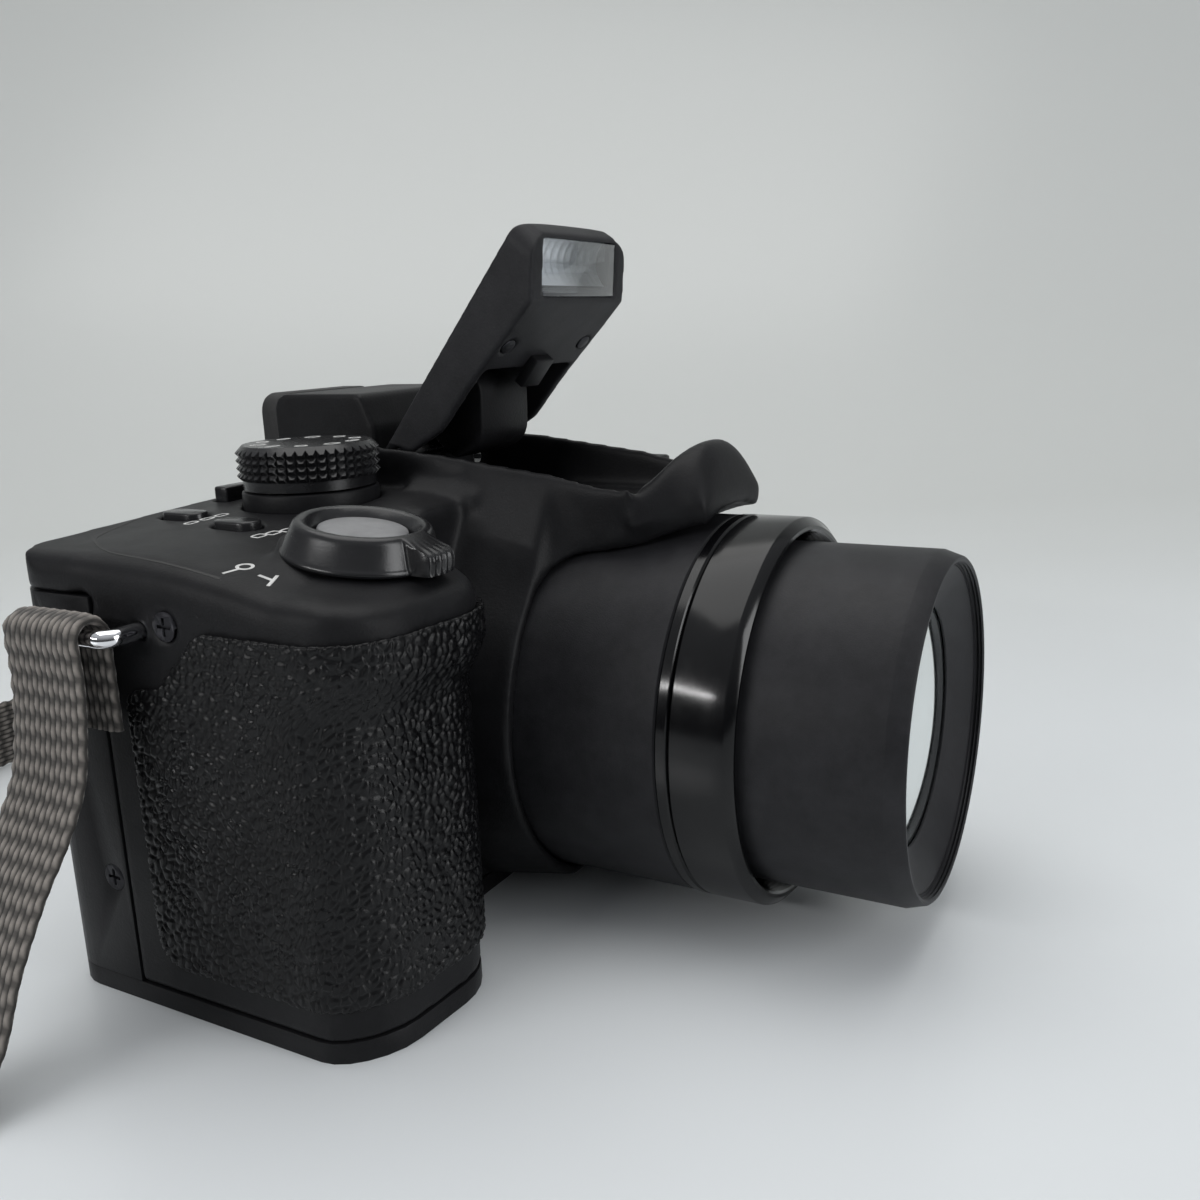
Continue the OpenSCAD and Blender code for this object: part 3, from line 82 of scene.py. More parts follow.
# Materials
class Shader:
    """A material with its Principled shader, and short ways to add nodes to it."""

    def __init__(self, name, colour, rough, **sockets):
        self.material = bpy.data.materials.new(name)
        self.material.use_nodes = True
        self.tree = self.material.node_tree
        self.bsdf = self.tree.nodes["Principled BSDF"]
        self.bsdf.inputs["Base Color"].default_value = (*colour, 1)
        self.bsdf.inputs["Roughness"].default_value = rough
        for socket, value in sockets.items():
            self.bsdf.inputs[socket.replace("_", " ")].default_value = value
        self.place = self.add("ShaderNodeTexCoord").outputs["Object"]
        self.normal = None

    def add(self, kind, **settings):
        node = self.tree.nodes.new(kind)
        for key, value in settings.items():
            setattr(node, key, value)
        return node

    def link(self, source, target):
        self.tree.links.new(source, target)

    def stretched(self, sx, sy, sz):
        """The object's place scaled along its axes, for marks that run one way."""
        node = self.add("ShaderNodeMapping")
        node.inputs["Scale"].default_value = (sx, sy, sz)
        self.link(self.place, node.inputs["Vector"])
        return node.outputs["Vector"]

    def noise(self, size, detail=3.0, rough=0.55, where=None):
        node = self.add("ShaderNodeTexNoise")
        node.inputs["Scale"].default_value = 1 / size
        node.inputs["Detail"].default_value = detail
        node.inputs["Roughness"].default_value = rough
        self.link(where or self.place, node.inputs["Vector"])
        return node.outputs["Fac"]

    def ramp(self, source, low, high, to_low=0.0, to_high=1.0):
        node = self.add("ShaderNodeMapRange")
        for socket, value in zip(("From Min", "From Max", "To Min", "To Max"), (low, high, to_low, to_high)):
            node.inputs[socket].default_value = value
        self.link(source, node.inputs["Value"])
        return node.outputs["Result"]

    def bump(self, height, depth, strength=1.0):
        node = self.add("ShaderNodeBump")
        node.inputs["Strength"].default_value = strength
        node.inputs["Distance"].default_value = depth
        self.link(height, node.inputs["Height"])
        if self.normal:
            self.link(self.normal, node.inputs["Normal"])
        self.normal = node.outputs["Normal"]
        self.link(self.normal, self.bsdf.inputs["Normal"])
        return self

    def vary_rough(self, source, low, high):
        self.link(self.ramp(source, 0.3, 0.7, low, high), self.bsdf.inputs["Roughness"])
        return self

    def vary_colour(self, source, first, second, low=0.3, high=0.7):
        node = self.add("ShaderNodeMix", data_type="RGBA")
        node.inputs["A"].default_value = (*first, 1)
        node.inputs["B"].default_value = (*second, 1)
        self.link(self.ramp(source, low, high), node.inputs["Factor"])
        self.link(node.outputs["Result"], self.bsdf.inputs["Base Color"])
        return self


def grained(name, colour, rough, grain=0.00035, depth=0.00004, spread=0.05, **sockets):
    """Moulded plastic with a fine spark-eroded grain, and a little dust in its colour."""
    sh = Shader(name, colour, rough, **sockets)
    sh.bump(sh.noise(grain, 4, 0.65), depth)
    sh.vary_rough(sh.noise(0.012, 4), rough - spread, rough + spread)
    darker = tuple(c * 0.75 for c in colour)
    lighter = tuple(c * 1.3 for c in colour)
    sh.vary_colour(sh.noise(0.005, 6, 0.7), darker, lighter)
    return sh.material


def turned(name, colour, rough, **sockets):
    """Polished plastic turned about the lens axis, with fine rings that streak its highlights."""
    sh = Shader(name, colour, rough, **sockets)
    sh.bump(sh.noise(0.0004, 2, 0.5, sh.stretched(0.02, 1, 0.02)), 0.00001, 0.35)
    sh.vary_rough(sh.noise(0.005, 6), rough * 0.75, rough * 1.35)
    return sh.material


def glossy(name, colour, rough, **sockets):
    """Smooth plastic or coated glass with faint handling marks."""
    sh = Shader(name, colour, rough, **sockets)
    sh.bump(sh.noise(0.006, 4), 0.00002, 0.2)
    sh.vary_rough(sh.noise(0.008, 6), rough * 0.7, rough * 1.5)
    return sh.material


def leather_like(name):
    """Rubber leatherette: the pebbles are in the mesh, the skin between them is dull."""
    sh = Shader(name, (0.003, 0.003, 0.0035), 0.30, Specular_IOR_Level=0.24)
    sh.bump(sh.noise(0.0003, 4, 0.6), 0.00004)
    sh.vary_rough(sh.noise(0.006, 5), 0.22, 0.38)
    sh.vary_colour(sh.noise(0.004, 5), (0.002, 0.002, 0.0024), (0.004, 0.004, 0.0046))
    return sh.material


def fluted_silver(name):
    """Lamp mirror with a painted reflection: its colour is painted bright on the grip side and dark grey on
    the other, with streaks across its length.
    """
    sh = Shader(name, (0.90, 0.91, 0.93), 0.28, Metallic=0.45)
    split = sh.add("ShaderNodeSeparateXYZ")
    sh.link(sh.place, split.inputs["Vector"])
    # Painted reflection: the colour runs from bright on the grip side (negative x) to dark grey on the other
    # side.
    sh.vary_colour(split.outputs["X"], (0.96, 0.97, 0.98), (0.20, 0.21, 0.21), -0.003, 0.004)
    sh.bump(sh.noise(0.0012, 2, 0.5, sh.stretched(1, 0.15, 0.15)), 0.0002, 0.6)
    return sh.material


def woven(name):
    """Taupe webbing: yarns are in the mesh, and painted shade darkens the colour where a point lies deep in
    the weave.
    """
    sh = Shader(name, (0.10, 0.09, 0.08), 0.85, Sheen_Weight=0.15, Sheen_Roughness=0.5)
    depth = sh.add("ShaderNodeAttribute", attribute_name="weave").outputs["Fac"]
    # Painted shade: dark in the weave's gaps, light on the yarns' backs.
    sh.vary_colour(depth, (0.018, 0.016, 0.014), (0.25, 0.226, 0.204), 0.1, 0.95)
    sh.bump(sh.noise(0.00025, 3), 0.00006, 0.8)
    return sh.material


def thin_clear(name, tint):
    """A thin clear pane: see-through straight on, shining at a slant."""
    sh = Shader(name, (0.90, 0.91, 0.92), 0.05, Metallic=1.0)
    through = sh.add("ShaderNodeBsdfTransparent")
    through.inputs["Color"].default_value = (*tint, 1)
    facing = sh.add("ShaderNodeLayerWeight").outputs["Facing"]
    both = sh.add("ShaderNodeMixShader")
    sh.link(sh.ramp(facing, 0.3, 1.0, 0.04, 0.6), both.inputs["Fac"])
    sh.link(through.outputs["BSDF"], both.inputs[1])
    sh.link(sh.bsdf.outputs["BSDF"], both.inputs[2])
    sh.link(both.outputs["Shader"], sh.tree.nodes["Material Output"].inputs["Surface"])
    sh.vary_rough(sh.noise(0.01, 4), 0.03, 0.08)
    return sh.material


def coated(name, tint):
    """Coated lens glass: clear seen straight on, a mirror seen along its face."""
    sh = Shader(name, tint, 0.01, Transmission_Weight=1.0, IOR=1.5)
    shine = sh.add("ShaderNodeBsdfGlossy")
    shine.inputs["Color"].default_value = (0.90, 0.93, 0.92, 1)
    shine.inputs["Roughness"].default_value = 0.06
    facing = sh.add("ShaderNodeLayerWeight").outputs["Facing"]
    both = sh.add("ShaderNodeMixShader")
    sh.link(sh.ramp(facing, 0.25, 0.55, 0.03, 0.95), both.inputs["Fac"])
    sh.link(sh.bsdf.outputs["BSDF"], both.inputs[1])
    sh.link(shine.outputs["BSDF"], both.inputs[2])
    sh.link(both.outputs["Shader"], sh.tree.nodes["Material Output"].inputs["Surface"])
    sh.vary_rough(sh.noise(0.01, 4), 0.008, 0.02)
    return sh.material


def metal(name, colour, rough):
    sh = Shader(name, colour, rough, Metallic=1.0)
    sh.bump(sh.noise(0.003, 4), 0.00002, 0.4)
    sh.vary_rough(sh.noise(0.004, 5), rough * 0.6, rough * 1.5)
    return sh.material


LOOKS = {
    "body_plastic": grained("body_plastic", (0.0085, 0.0085, 0.0095), 0.46, Specular_IOR_Level=0.17),
    "flash_shell": grained("flash_shell", (0.018, 0.018, 0.020), 0.52, Specular_IOR_Level=0.2),
    "leatherette": leather_like("leatherette"),
    "lens_black": grained("lens_black", (0.017, 0.017, 0.019), 0.46, 0.00025, 0.00003,
                          Specular_IOR_Level=0.20),
    "gloss_black": turned("gloss_black", (0.002, 0.002, 0.0025), 0.15, Specular_IOR_Level=0.36),
    "front_element": coated("front_element", (0.86, 0.90, 0.92)),
    "lamp_window": thin_clear("lamp_window", (0.95, 0.96, 0.97)),
    "lamp_mirror": fluted_silver("lamp_mirror"),
    "screen_cover": glossy("screen_cover", (0.006, 0.006, 0.008), 0.07),
    "chrome": metal("chrome", (0.80, 0.80, 0.82), 0.07),
    "steel": metal("steel", (0.50, 0.50, 0.51), 0.3),
    "dark_steel": metal("dark_steel", (0.045, 0.045, 0.05), 0.5),
    "bush_brass": metal("bush_brass", (0.60, 0.56, 0.44), 0.3),
    "frame_metal": metal("frame_metal", (0.45, 0.46, 0.47), 0.4),
    "soft_rubber": grained("soft_rubber", (0.010, 0.010, 0.010), 0.6, 0.0005),
    "control_black": grained("control_black", (0.010, 0.010, 0.011), 0.26, 0.0003, 0.000015,
                             Specular_IOR_Level=0.45),
    "shutter_grey": grained("shutter_grey", (0.20, 0.20, 0.205), 0.42, 0.0003, 0.00003),
    "board_green": grained("board_green", (0.03, 0.14, 0.06), 0.45),
    "sensor_cover": glossy("sensor_cover", (0.03, 0.05, 0.045), 0.1),
    "cell_case": grained("cell_case", (0.09, 0.09, 0.10), 0.5),
    "card_blue": grained("card_blue", (0.03, 0.06, 0.15), 0.45),
    "webbing": woven("webbing"),
}
PALE_INK = grained("pale_ink", (0.55, 0.55, 0.54), 0.6)
for name, obj in NODES.items():
    obj.data.materials.clear()
    obj.data.materials.append(LOOKS[SLOT_OF[name]])


# Mesh helpers
NODE_WELD, LOFT_WELD, RELAX = 2e-6, 1e-6, 0.5
FLAT_WITHIN, ROUND_FROM = math.radians(0.6), math.radians(32)


def new_object(name, mesh):
    obj = bpy.data.objects.new(name, mesh)
    bpy.context.scene.collection.objects.link(obj)
    return obj


def mesh_of(name, verts, faces):
    mesh = bpy.data.meshes.new(name)
    mesh.from_pydata([tuple(v) for v in verts], [], [tuple(f) for f in faces])
    mesh.validate()
    bm = bmesh.new()
    bm.from_mesh(mesh)
    bmesh.ops.recalc_face_normals(bm, faces=bm.faces)
    bm.to_mesh(mesh)
    bm.free()
    return mesh


def as_piece(name, mesh, body, slot, replaces=(), sharp=40.0, material=None):
    """Makes a mesh a piece of the model: shaded smooth up to an angle, riding on its body."""
    mesh.shade_smooth()
    mesh.set_sharp_from_angle(angle=math.radians(sharp))
    mesh.materials.clear()
    mesh.materials.append(material or LOOKS[slot])
    obj = new_object(name, mesh)
    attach(obj, body)
    if replaces:
        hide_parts(*replaces)
    return obj


def node_mesh(name):
    """A welded copy of a CAD node's mesh."""
    bm = bmesh.new()
    bm.from_mesh(NODES[name].data)
    bmesh.ops.remove_doubles(bm, verts=bm.verts, dist=NODE_WELD)
    mesh = bpy.data.meshes.new("copy")
    bm.to_mesh(mesh)
    bm.free()
    return mesh


def baked(mesh, *modifiers):
    """The mesh after some modifiers, each given as (type, settings)."""
    obj = new_object("work", mesh)
    for kind, settings in modifiers:
        modifier = obj.modifiers.new(kind, kind)
        for key, value in settings.items():
            setattr(modifier, key, value)
    graph = bpy.context.evaluated_depsgraph_get()
    result = bpy.data.meshes.new_from_object(obj.evaluated_get(graph))
    bpy.data.objects.remove(obj)
    return result


def joined(*meshes):
    bm = bmesh.new()
    for mesh in meshes:
        bm.from_mesh(mesh)
    result = bpy.data.meshes.new("joined")
    bm.to_mesh(result)
    bm.free()
    return result


def cut(mesh, tool):
    """Takes the closed mesh of a tool out of a closed mesh."""
    cutter = new_object("cutter", tool)
    result = baked(mesh, ("BOOLEAN", {"object": cutter, "operation": "DIFFERENCE", "solver": "EXACT"}))
    bpy.data.objects.remove(cutter)
    return result


def box_mesh(low, high):
    """A box between two corners, given in millimetres."""
    low, high = Vector(low) * MM, Vector(high) * MM
    bm = bmesh.new()
    bmesh.ops.create_cube(bm, size=1.0)
    for v in bm.verts:
        v.co = Vector((low[i] + (v.co[i] + 0.5) * (high[i] - low[i]) for i in range(3)))
    box = bpy.data.meshes.new("box")
    bm.to_mesh(box)
    bm.free()
    return box


def cut_box(mesh, low, high):
    return cut(mesh, box_mesh(low, high))


def points(mesh):
    """The mesh's points in millimetres."""
    co = np.empty(len(mesh.vertices) * 3)
    mesh.vertices.foreach_get("co", co)
    return co.reshape(-1, 3) / MM


def normals(mesh):
    n = np.empty(len(mesh.vertices) * 3, np.float32)
    mesh.vertex_normals.foreach_get("vector", n)
    return n.reshape(-1, 3).astype(float)


def set_points(mesh, co):
    mesh.vertices.foreach_set("co", (co * MM).ravel())
    mesh.update()


def smoothed(mesh, rounds, weight=None):
    """Relaxes a mesh, fully where the weight is 1 and not at all where it is 0."""
    edges = np.empty(len(mesh.edges) * 2, np.int64)
    mesh.edges.foreach_get("vertices", edges)
    a, b = edges.reshape(-1, 2).T
    n = len(mesh.vertices)
    if weight is not None:
        near = (weight[a] > 0) | (weight[b] > 0)
        a, b = a[near], b[near]
    count = np.maximum(np.bincount(a, minlength=n) + np.bincount(b, minlength=n), 1)[:, None]
    co = points(mesh)
    share = np.ones((n, 1)) if weight is None else weight[:, None]
    for _ in range(rounds):
        total = np.stack([np.bincount(a, co[b, i], n) + np.bincount(b, co[a, i], n) for i in range(3)], 1)
        co += RELAX * share * (total / count - co)
    set_points(mesh, co)
    return mesh


def ease(x, low, high):
    """Smooth step from 0 at low to 1 at high."""
    t = np.clip((x - low) / (high - low), 0, 1)
    return t * t * (3 - 2 * t)


def softened(node, width):
    """A copy of a CAD node with its sharp edges rounded, which takes the node's place."""
    bm = bmesh.new()
    bm.from_mesh(node_mesh(node))
    bmesh.ops.dissolve_limit(bm, angle_limit=FLAT_WITHIN, verts=bm.verts, edges=bm.edges)
    mesh = bpy.data.meshes.new(node + "_look")
    bm.to_mesh(mesh)
    bm.free()
    mesh = baked(mesh, ("BEVEL", {"width": width * MM, "segments": 2, "limit_method": "ANGLE",
                                  "angle_limit": ROUND_FROM, "use_clamp_overlap": True,
                                  "miter_outer": "MITER_ARC"}))
    return as_piece(node + "_look", mesh, BODY_OF[node], SLOT_OF[node], (node,))


def catmull(points_in, steps):
    """A smooth line through points, with so many steps from each to the next."""
    p = np.array(points_in, float)
    n = len(p)
    out = []
    for i in range(n - 1):
        p0, p1, p2, p3 = p[max(i - 1, 0)], p[i], p[i + 1], p[min(i + 2, n - 1)]
        for k in range(steps):
            t = k / steps
            out.append(0.5 * (2 * p1 + (p2 - p0) * t + (2 * p0 - 5 * p1 + 4 * p2 - p3) * t * t
                              + (3 * p1 - p0 - 3 * p2 + p3) * t ** 3))
    out.append(p[-1])
    return np.array(out)


def loft(name, loops, closed_ends=True):
    """A mesh through closed loops of equal counts."""
    n, m = len(loops), len(loops[0])
    verts = np.concatenate(loops) * MM
    index = np.arange(n * m).reshape(n, m)
    a, b = index[:-1], index[1:]
    quads = np.stack([a, b, np.roll(b, -1, 1), np.roll(a, -1, 1)], 2).reshape(-1, 4)
    faces = [tuple(q) for q in quads]
    if closed_ends:
        faces += [tuple(index[0]), tuple(index[-1][::-1])]
    return mesh_of(name, verts, faces)


def welded(mesh):
    """The mesh with its doubled points joined and its faces turned outward."""
    bm = bmesh.new()
    bm.from_mesh(mesh)
    bmesh.ops.remove_doubles(bm, verts=bm.verts, dist=LOFT_WELD)
    bmesh.ops.recalc_face_normals(bm, faces=bm.faces)
    bm.to_mesh(mesh)
    bm.free()
    return mesh


# Body shell: the top and front covers as one moulding, with the lens cowl swept into the finder hump
LENS_Z = 29.2
COWL_BACK, COLLAR_EDGE, COWL_IN = -10.2, -23.4, 27.95
# A row of a line starts with its y, followed by the cowl's end angle and lip radius, the height of the
# well's rim, or the nose's half width, top and end angle
LIP_LINE = [(COWL_BACK, 100, 31.6), (COLLAR_EDGE, 100, 29.2), (-23.5, 46, 29.2), (-24.6, 38.4, 29.0),
            (-26.8, 33.0, 29.25), (-29, 31.3, 29.8), (-31.5, 30.0, 30.4), (-36.5, 26.2, 30.9)]
RIM_LINE = [(COWL_BACK, 66.0), (-23.2, 64.4), (-29.8, 63.0), (-34.2, 62.5), (-36.4, 63.2)]
RIM_X, WELL_X, WELL_FLOOR, WELL_BACK = 15.1, 13.9, 58.2, 8.6
NOSE_LINE = [(-35.2, 15.0, 62.4, 27.2), (-36.4, 14.7, 63.1, 26.3), (-37.6, 13.9, 64.6, 24.8),
             (-39, 12.7, 66.6, 23.2), (-40.4, 11.7, 67.7, 21.6), (-41.6, 11.2, 67.8, 20.4),
             (-42.7, 10.9, 66.9, 19.8), (-43.6, 10.8, 65.2, 19.6), (-44.3, 10.7, 62.8, 19.4),
             (-44.8, 10.5, 61.0, 19.2)]
SIDE_STEPS, TOP_STEPS, ARC_STEPS, DOWN_STEPS = 28, 12, 24, 6
SWEEP_END, SWEEP_REACH, SWEEP_POWER = 56, (3, 30), (1.1, 2.3)
NOSE_LIP, NOSE_FLARE, FLARE_FROM, FLARE_TO, NOSE_FOOT = 30.9, 1.1, 36.5, 43, 0.4
NOSE_Y, NOSE_SQUARE, NOSE_ROUND = (35, 40.5), (9, 2.4), (0.3, 0.6)
NOSE_IN_Y, NOSE_IN = (36, 43), 29.3


def along(y, line, column):
    """A column of a line's rows, read at y."""
    return np.interp(-y, [-row[0] for row in line], [row[column] for row in line])


def polar(angle, radius):
    """Points (x, z) round the lens axis, at angles from straight up."""
    a = np.radians(angle)
    return np.stack([radius * np.sin(a), LENS_Z + radius * np.cos(a)], -1)


def whole_loop(half, y):
    """A closed loop at one y from its half outline, which starts and ends on the middle plane."""
    other = half[-2:0:-1] * (-1, 1)
    flat = np.vstack([half, other])
    return np.stack([flat[:, 0], np.full(len(flat), y), flat[:, 1]], 1)


def side_loop(y):
    """The cowl at one y: floor and rim of the well, the swept side, and the bore."""
    edge, lip, rim_z = along(y, LIP_LINE, 1), along(y, LIP_LINE, 2), along(y, RIM_LINE, 1)
    rim = np.array([RIM_X, rim_z])
    start = math.degrees(math.atan2(rim[0], rim[1] - LENS_Z))
    rim_r = math.hypot(rim[0], rim[1] - LENS_Z)
    angle = np.linspace(start, edge, SIDE_STEPS)
    reach = min(edge, SWEEP_END) - start
    power = np.interp(reach, SWEEP_REACH, SWEEP_POWER)
    fall = np.clip(1 - (angle - start) / reach, 0, 1) ** power
    side = polar(angle, lip + (rim_r - lip) * fall)
    top = np.stack([np.linspace(0, WELL_X, TOP_STEPS - 2), np.full(TOP_STEPS - 2, WELL_FLOOR)], 1)
    top = np.vstack([top, [(WELL_X, rim_z - 0.5), (WELL_X + 0.5, rim_z)]])
    inner = polar(np.linspace(edge, 0, ARC_STEPS), COWL_IN)
    return whole_loop(np.vstack([top, side, inner]), y)


def nose_loop(y, half, top_z, edge):
    """The nose at one y: its dome, the short wall under it, and the bore."""
    lip = polar(np.array(edge), NOSE_LIP + NOSE_FLARE * ease(np.array(-y), FLARE_FROM, FLARE_TO))
    x = half * np.sin(np.linspace(0, math.pi / 2, TOP_STEPS + SIDE_STEPS - DOWN_STEPS))
    foot = lip[1] + NOSE_FOOT
    square = np.interp(-y, NOSE_Y, NOSE_SQUARE)
    round_off = np.interp(-y, NOSE_Y, NOSE_ROUND)
    z = foot + (top_z - foot) * (1 - np.clip(x / half, 0, 1) ** square) ** round_off
    dome = np.stack([x, z], 1)
    down = np.linspace(dome[-1], lip, DOWN_STEPS + 1)[1:]
    inner = polar(np.linspace(edge, 0, ARC_STEPS), np.interp(-y, NOSE_IN_Y, (COWL_IN, NOSE_IN)))
    return whole_loop(np.vstack([dome, down, inner]), y)


def make_cowl():
    ys = np.r_[np.arange(COWL_BACK, COLLAR_EDGE, -0.8), COLLAR_EDGE, -23.42, np.arange(-23.8, -36.4, -0.6)]
    side = loft("cowl_side", [side_loop(y) for y in ys])
    nose = loft("cowl_nose", [nose_loop(*row) for row in catmull(NOSE_LINE, 3)])
    return side, nose


HUMP_BACK, HUMP_FRONT, HUMP_FOOT, HUMP_STEPS = 8.4, -13, 57.5, 28
HUMP_RIM = [(HUMP_BACK, 67.6), (-3.3, 66.9), (COWL_BACK, 66.0), (HUMP_FRONT, 65.6)]
HUMP_SLIM, SLIM_FROM, HUMP_FLARE = 0.07, -2, 2.6


def make_hump_walls():
    """The two walls beside the flash, which carry the cowl's rim back to the finder."""
    walls = []
    for side in (-1, 1):
        loops = []
        for y in np.linspace(HUMP_FRONT, HUMP_BACK, HUMP_STEPS):
            rim = along(y, HUMP_RIM, 1)
            slim = HUMP_SLIM * max(y - SLIM_FROM, 0)
            out = HUMP_FLARE * (1 - float(ease(np.array(y), -3, 1)))
            half = [(WELL_X, HUMP_FOOT), (WELL_X, rim - 0.4), (WELL_X + 0.3, rim), (RIM_X - slim, rim),
                    (RIM_X + 0.4 - slim, rim - 1.2), (RIM_X + 0.7 - slim, 63.3), (RIM_X + 1 + out, 61.2),
                    (RIM_X + 1 + out, HUMP_FOOT)]
            loops.append([(side * x, y, z) for x, z in half])
        walls.append(loft("wall", np.array(loops)))
    return walls


SHELL_VOXEL, SWEPT_ROUNDS, EDGE_ROUNDS, LAST_ROUNDS = 0.45, 14, 70, 3
# A pair below is where a change starts and where it is full, along one axis
SWEPT_HALF, SWEPT_X, SWEPT_Y, SWEPT_Z = 30, (0, 4), (-4, 0), (40, 44)
EDGE_SIDE, EDGE_FRONT, EDGE_GRIP, EDGE_TOP, EDGE_REAR = (49, 54), (16, 21), (28, 33), (52, 55), (-18, -10)
DECK_DROP, DROP_X, DROP_Z, DROP_FROM, DROP_RUN = 3.0, (26, 34), (50.5, 57), 12, 27
SET_BACK, SET_X, SET_Y, SET_Z = 3.0, (31.0, 35.0), (12, 27), (41.5, 48.5)
COWL_ROOM = (-22, -60, 52), (22, -11.05, 80)
WELL_ROOM = (-WELL_X, -12, WELL_FLOOR - 0.05), (WELL_X, WELL_BACK, 80)
COLLAR_ROOM = (-32.2, -30, 2), (32.2, COLLAR_EDGE, 57)


def lowered(co):
    """Slopes the deck down to the front of the hand grip, under the shutter button."""
    near = ease(-co[:, 0], *DROP_X) * np.clip((DROP_FROM - co[:, 1]) / DROP_RUN, 0, 1) ** 2
    co[:, 2] -= DECK_DROP * near * ease(co[:, 2], *DROP_Z)
    return co


def set_back(co):
    """Sets the hand grip back below the deck's front lip, where the fingers close round it."""
    near = ease(-co[:, 0], *SET_X) * ease(-co[:, 1], *SET_Y)
    co[:, 1] += SET_BACK * near * (1 - ease(co[:, 2], *SET_Z))
    return co


def make_shell():
    top = cut_box(node_mesh("top_cover"), *COWL_ROOM)
    top = cut_box(top, *WELL_ROOM)
    front = cut_box(node_mesh("front_cover"), *COLLAR_ROOM)
    mesh = joined(top, front, *make_cowl(), *make_hump_walls())
    mesh = baked(mesh, ("REMESH", {"mode": "VOXEL", "voxel_size": SHELL_VOXEL * MM, "adaptivity": 0.0}))
    x, y, z = points(mesh).T
    swept = ease(SWEPT_HALF - np.abs(x), *SWEPT_X) * ease(-y, *SWEPT_Y) * ease(z, *SWEPT_Z)
    smoothed(mesh, SWEPT_ROUNDS, swept)
    outer = np.maximum(ease(-x, *EDGE_SIDE), ease(-y, *EDGE_FRONT) * ease(-x, *EDGE_GRIP))
    smoothed(mesh, EDGE_ROUNDS, outer * ease(z, *EDGE_TOP) * ease(-y, *EDGE_REAR))
    smoothed(mesh, LAST_ROUNDS)
    set_points(mesh, set_back(lowered(points(mesh))))
    return as_piece("body_shell", mesh, "camera", "body_plastic", ("top_cover", "front_cover"), 60.0)


shell = make_shell()


# Grip leatherette with real pebbles
PANEL_VOXEL, PANEL_PROUD = 0.19, 0.25
PEBBLE, PEBBLE_RISE, PEBBLE_GAP = 1.15, 0.24, 0.30
PEBBLE_SWAY, PEBBLE_LEAN, PEBBLE_SQUAT, PANEL_ROUNDS = 0.4, 0.35, 0.85, 8
SEED, SEED_CELLS = 7, 32


def cell_gap(co, size):
    """Distance, in cells, from each point to the border of its pebble: second nearest seed less nearest."""
    at = co / size
    base = np.floor(at).astype(int)
    rng = np.random.default_rng(SEED)
    jitter = rng.random((SEED_CELLS, SEED_CELLS, SEED_CELLS, 3))
    first = np.full(len(co), np.inf)
    second = np.full(len(co), np.inf)
    for step in product((-1, 0, 1), repeat=3):
        cell = base + step
        seed = cell + jitter[tuple(cell.T % SEED_CELLS)]
        d = np.linalg.norm(seed - at, axis=1)
        second = np.where(d < first, first, np.minimum(second, d))
        first = np.minimum(first, d)
    return second - first


def make_panel():
    mesh = baked(node_mesh("grip_panel"), ("REMESH", {"mode": "VOXEL", "voxel_size": PANEL_VOXEL * MM}))
    smoothed(mesh, PANEL_ROUNDS)
    co = points(mesh)
    out = normals(mesh)
    sway = PEBBLE_SWAY * np.stack([np.sin(co[:, 2] / 3.1 + co[:, 1] / 4.7), np.sin(co[:, 2] / 3.7 + 1),
                                   np.sin((co[:, 0] + co[:, 1]) / 4.3)], 1)
    lean = np.stack([co[:, 0], co[:, 1] + PEBBLE_LEAN * co[:, 2], co[:, 2] * PEBBLE_SQUAT], 1)
    height = PANEL_PROUD + PEBBLE_RISE * (ease(cell_gap(lean + sway, PEBBLE), 0, PEBBLE_GAP) - 1)
    outward = ease(-out[:, 1], 0.1, 0.5) + ease(-out[:, 0], 0.1, 0.5)
    co += out * (height * np.clip(outward, 0, 1))[:, None]
    set_points(mesh, set_back(co))
    return as_piece("grip_leatherette", mesh, "camera", "leatherette", ("grip_panel",), 180.0)


make_panel()


# Lens pieces turned about the lens axis
TURN_STEPS = 192


def turned_piece(name, outline, body, slot, replaces, sharp=30.0):
    """A closed (radius, y) outline turned about the lens axis."""
    loops = []
    for a in np.linspace(0, 2 * math.pi, TURN_STEPS, endpoint=False):
        loops.append([(r * math.sin(a), y, LENS_Z + r * math.cos(a)) for r, y in outline])
    loops.append(loops[0])
    mesh = welded(loft(name, np.array(loops), closed_ends=False))
    return as_piece(name, mesh, body, slot, replaces, sharp)


def thread(radius, y0, y1, deep, pitch):
    """Points of a thread's flanks along a bore, from y0 to y1."""
    count = int(abs(y1 - y0) / pitch)
    ys = np.linspace(y0, y1, 2 * count + 1)
    return [(radius + (deep if i % 2 else 0), y) for i, y in enumerate(ys)]


BARREL_R, BORE_R, SHROUD_R, RING_R, NECK_R = 24.3, 22.3, 27.6, 27.75, 26.5
RING_FRONT, RING_BACK, TRIM_BACK = -55.0, -46.5, -44.5
BARREL_FRONT, BARREL_BACK, FILTER_R, BEZEL_FRONT = -75.5, -28.5, 23.0, -74.2

turned_piece("lens_shroud_look", [
    (24.6, -48.5), (NECK_R, -48.5), (NECK_R, TRIM_BACK), (SHROUD_R - 0.25, TRIM_BACK),
    (SHROUD_R, TRIM_BACK + 0.25), (SHROUD_R, -11.05), (25.5, -11.05), (25.5, -6.3), (20.0, -6.3),
    (20.0, 12.0), (18.5, 12.0), (18.5, -7.5), (24.6, -7.5)],
    "camera", "lens_black", ("lens_shroud",))
turned_piece("trim_ring_look", [
    (NECK_R + 0.05, RING_BACK + 0.15), (RING_R - 0.35, RING_BACK + 0.15), (RING_R, RING_BACK + 0.45),
    (RING_R, TRIM_BACK - 0.35), (RING_R - 0.3, TRIM_BACK - 0.05), (NECK_R + 0.05, TRIM_BACK - 0.05)],
    "camera", "gloss_black", ("trim_ring",))
ring_thread = thread(RING_R - 2.05, RING_FRONT + 0.25, RING_BACK - 2.4, 0.35, 0.75)
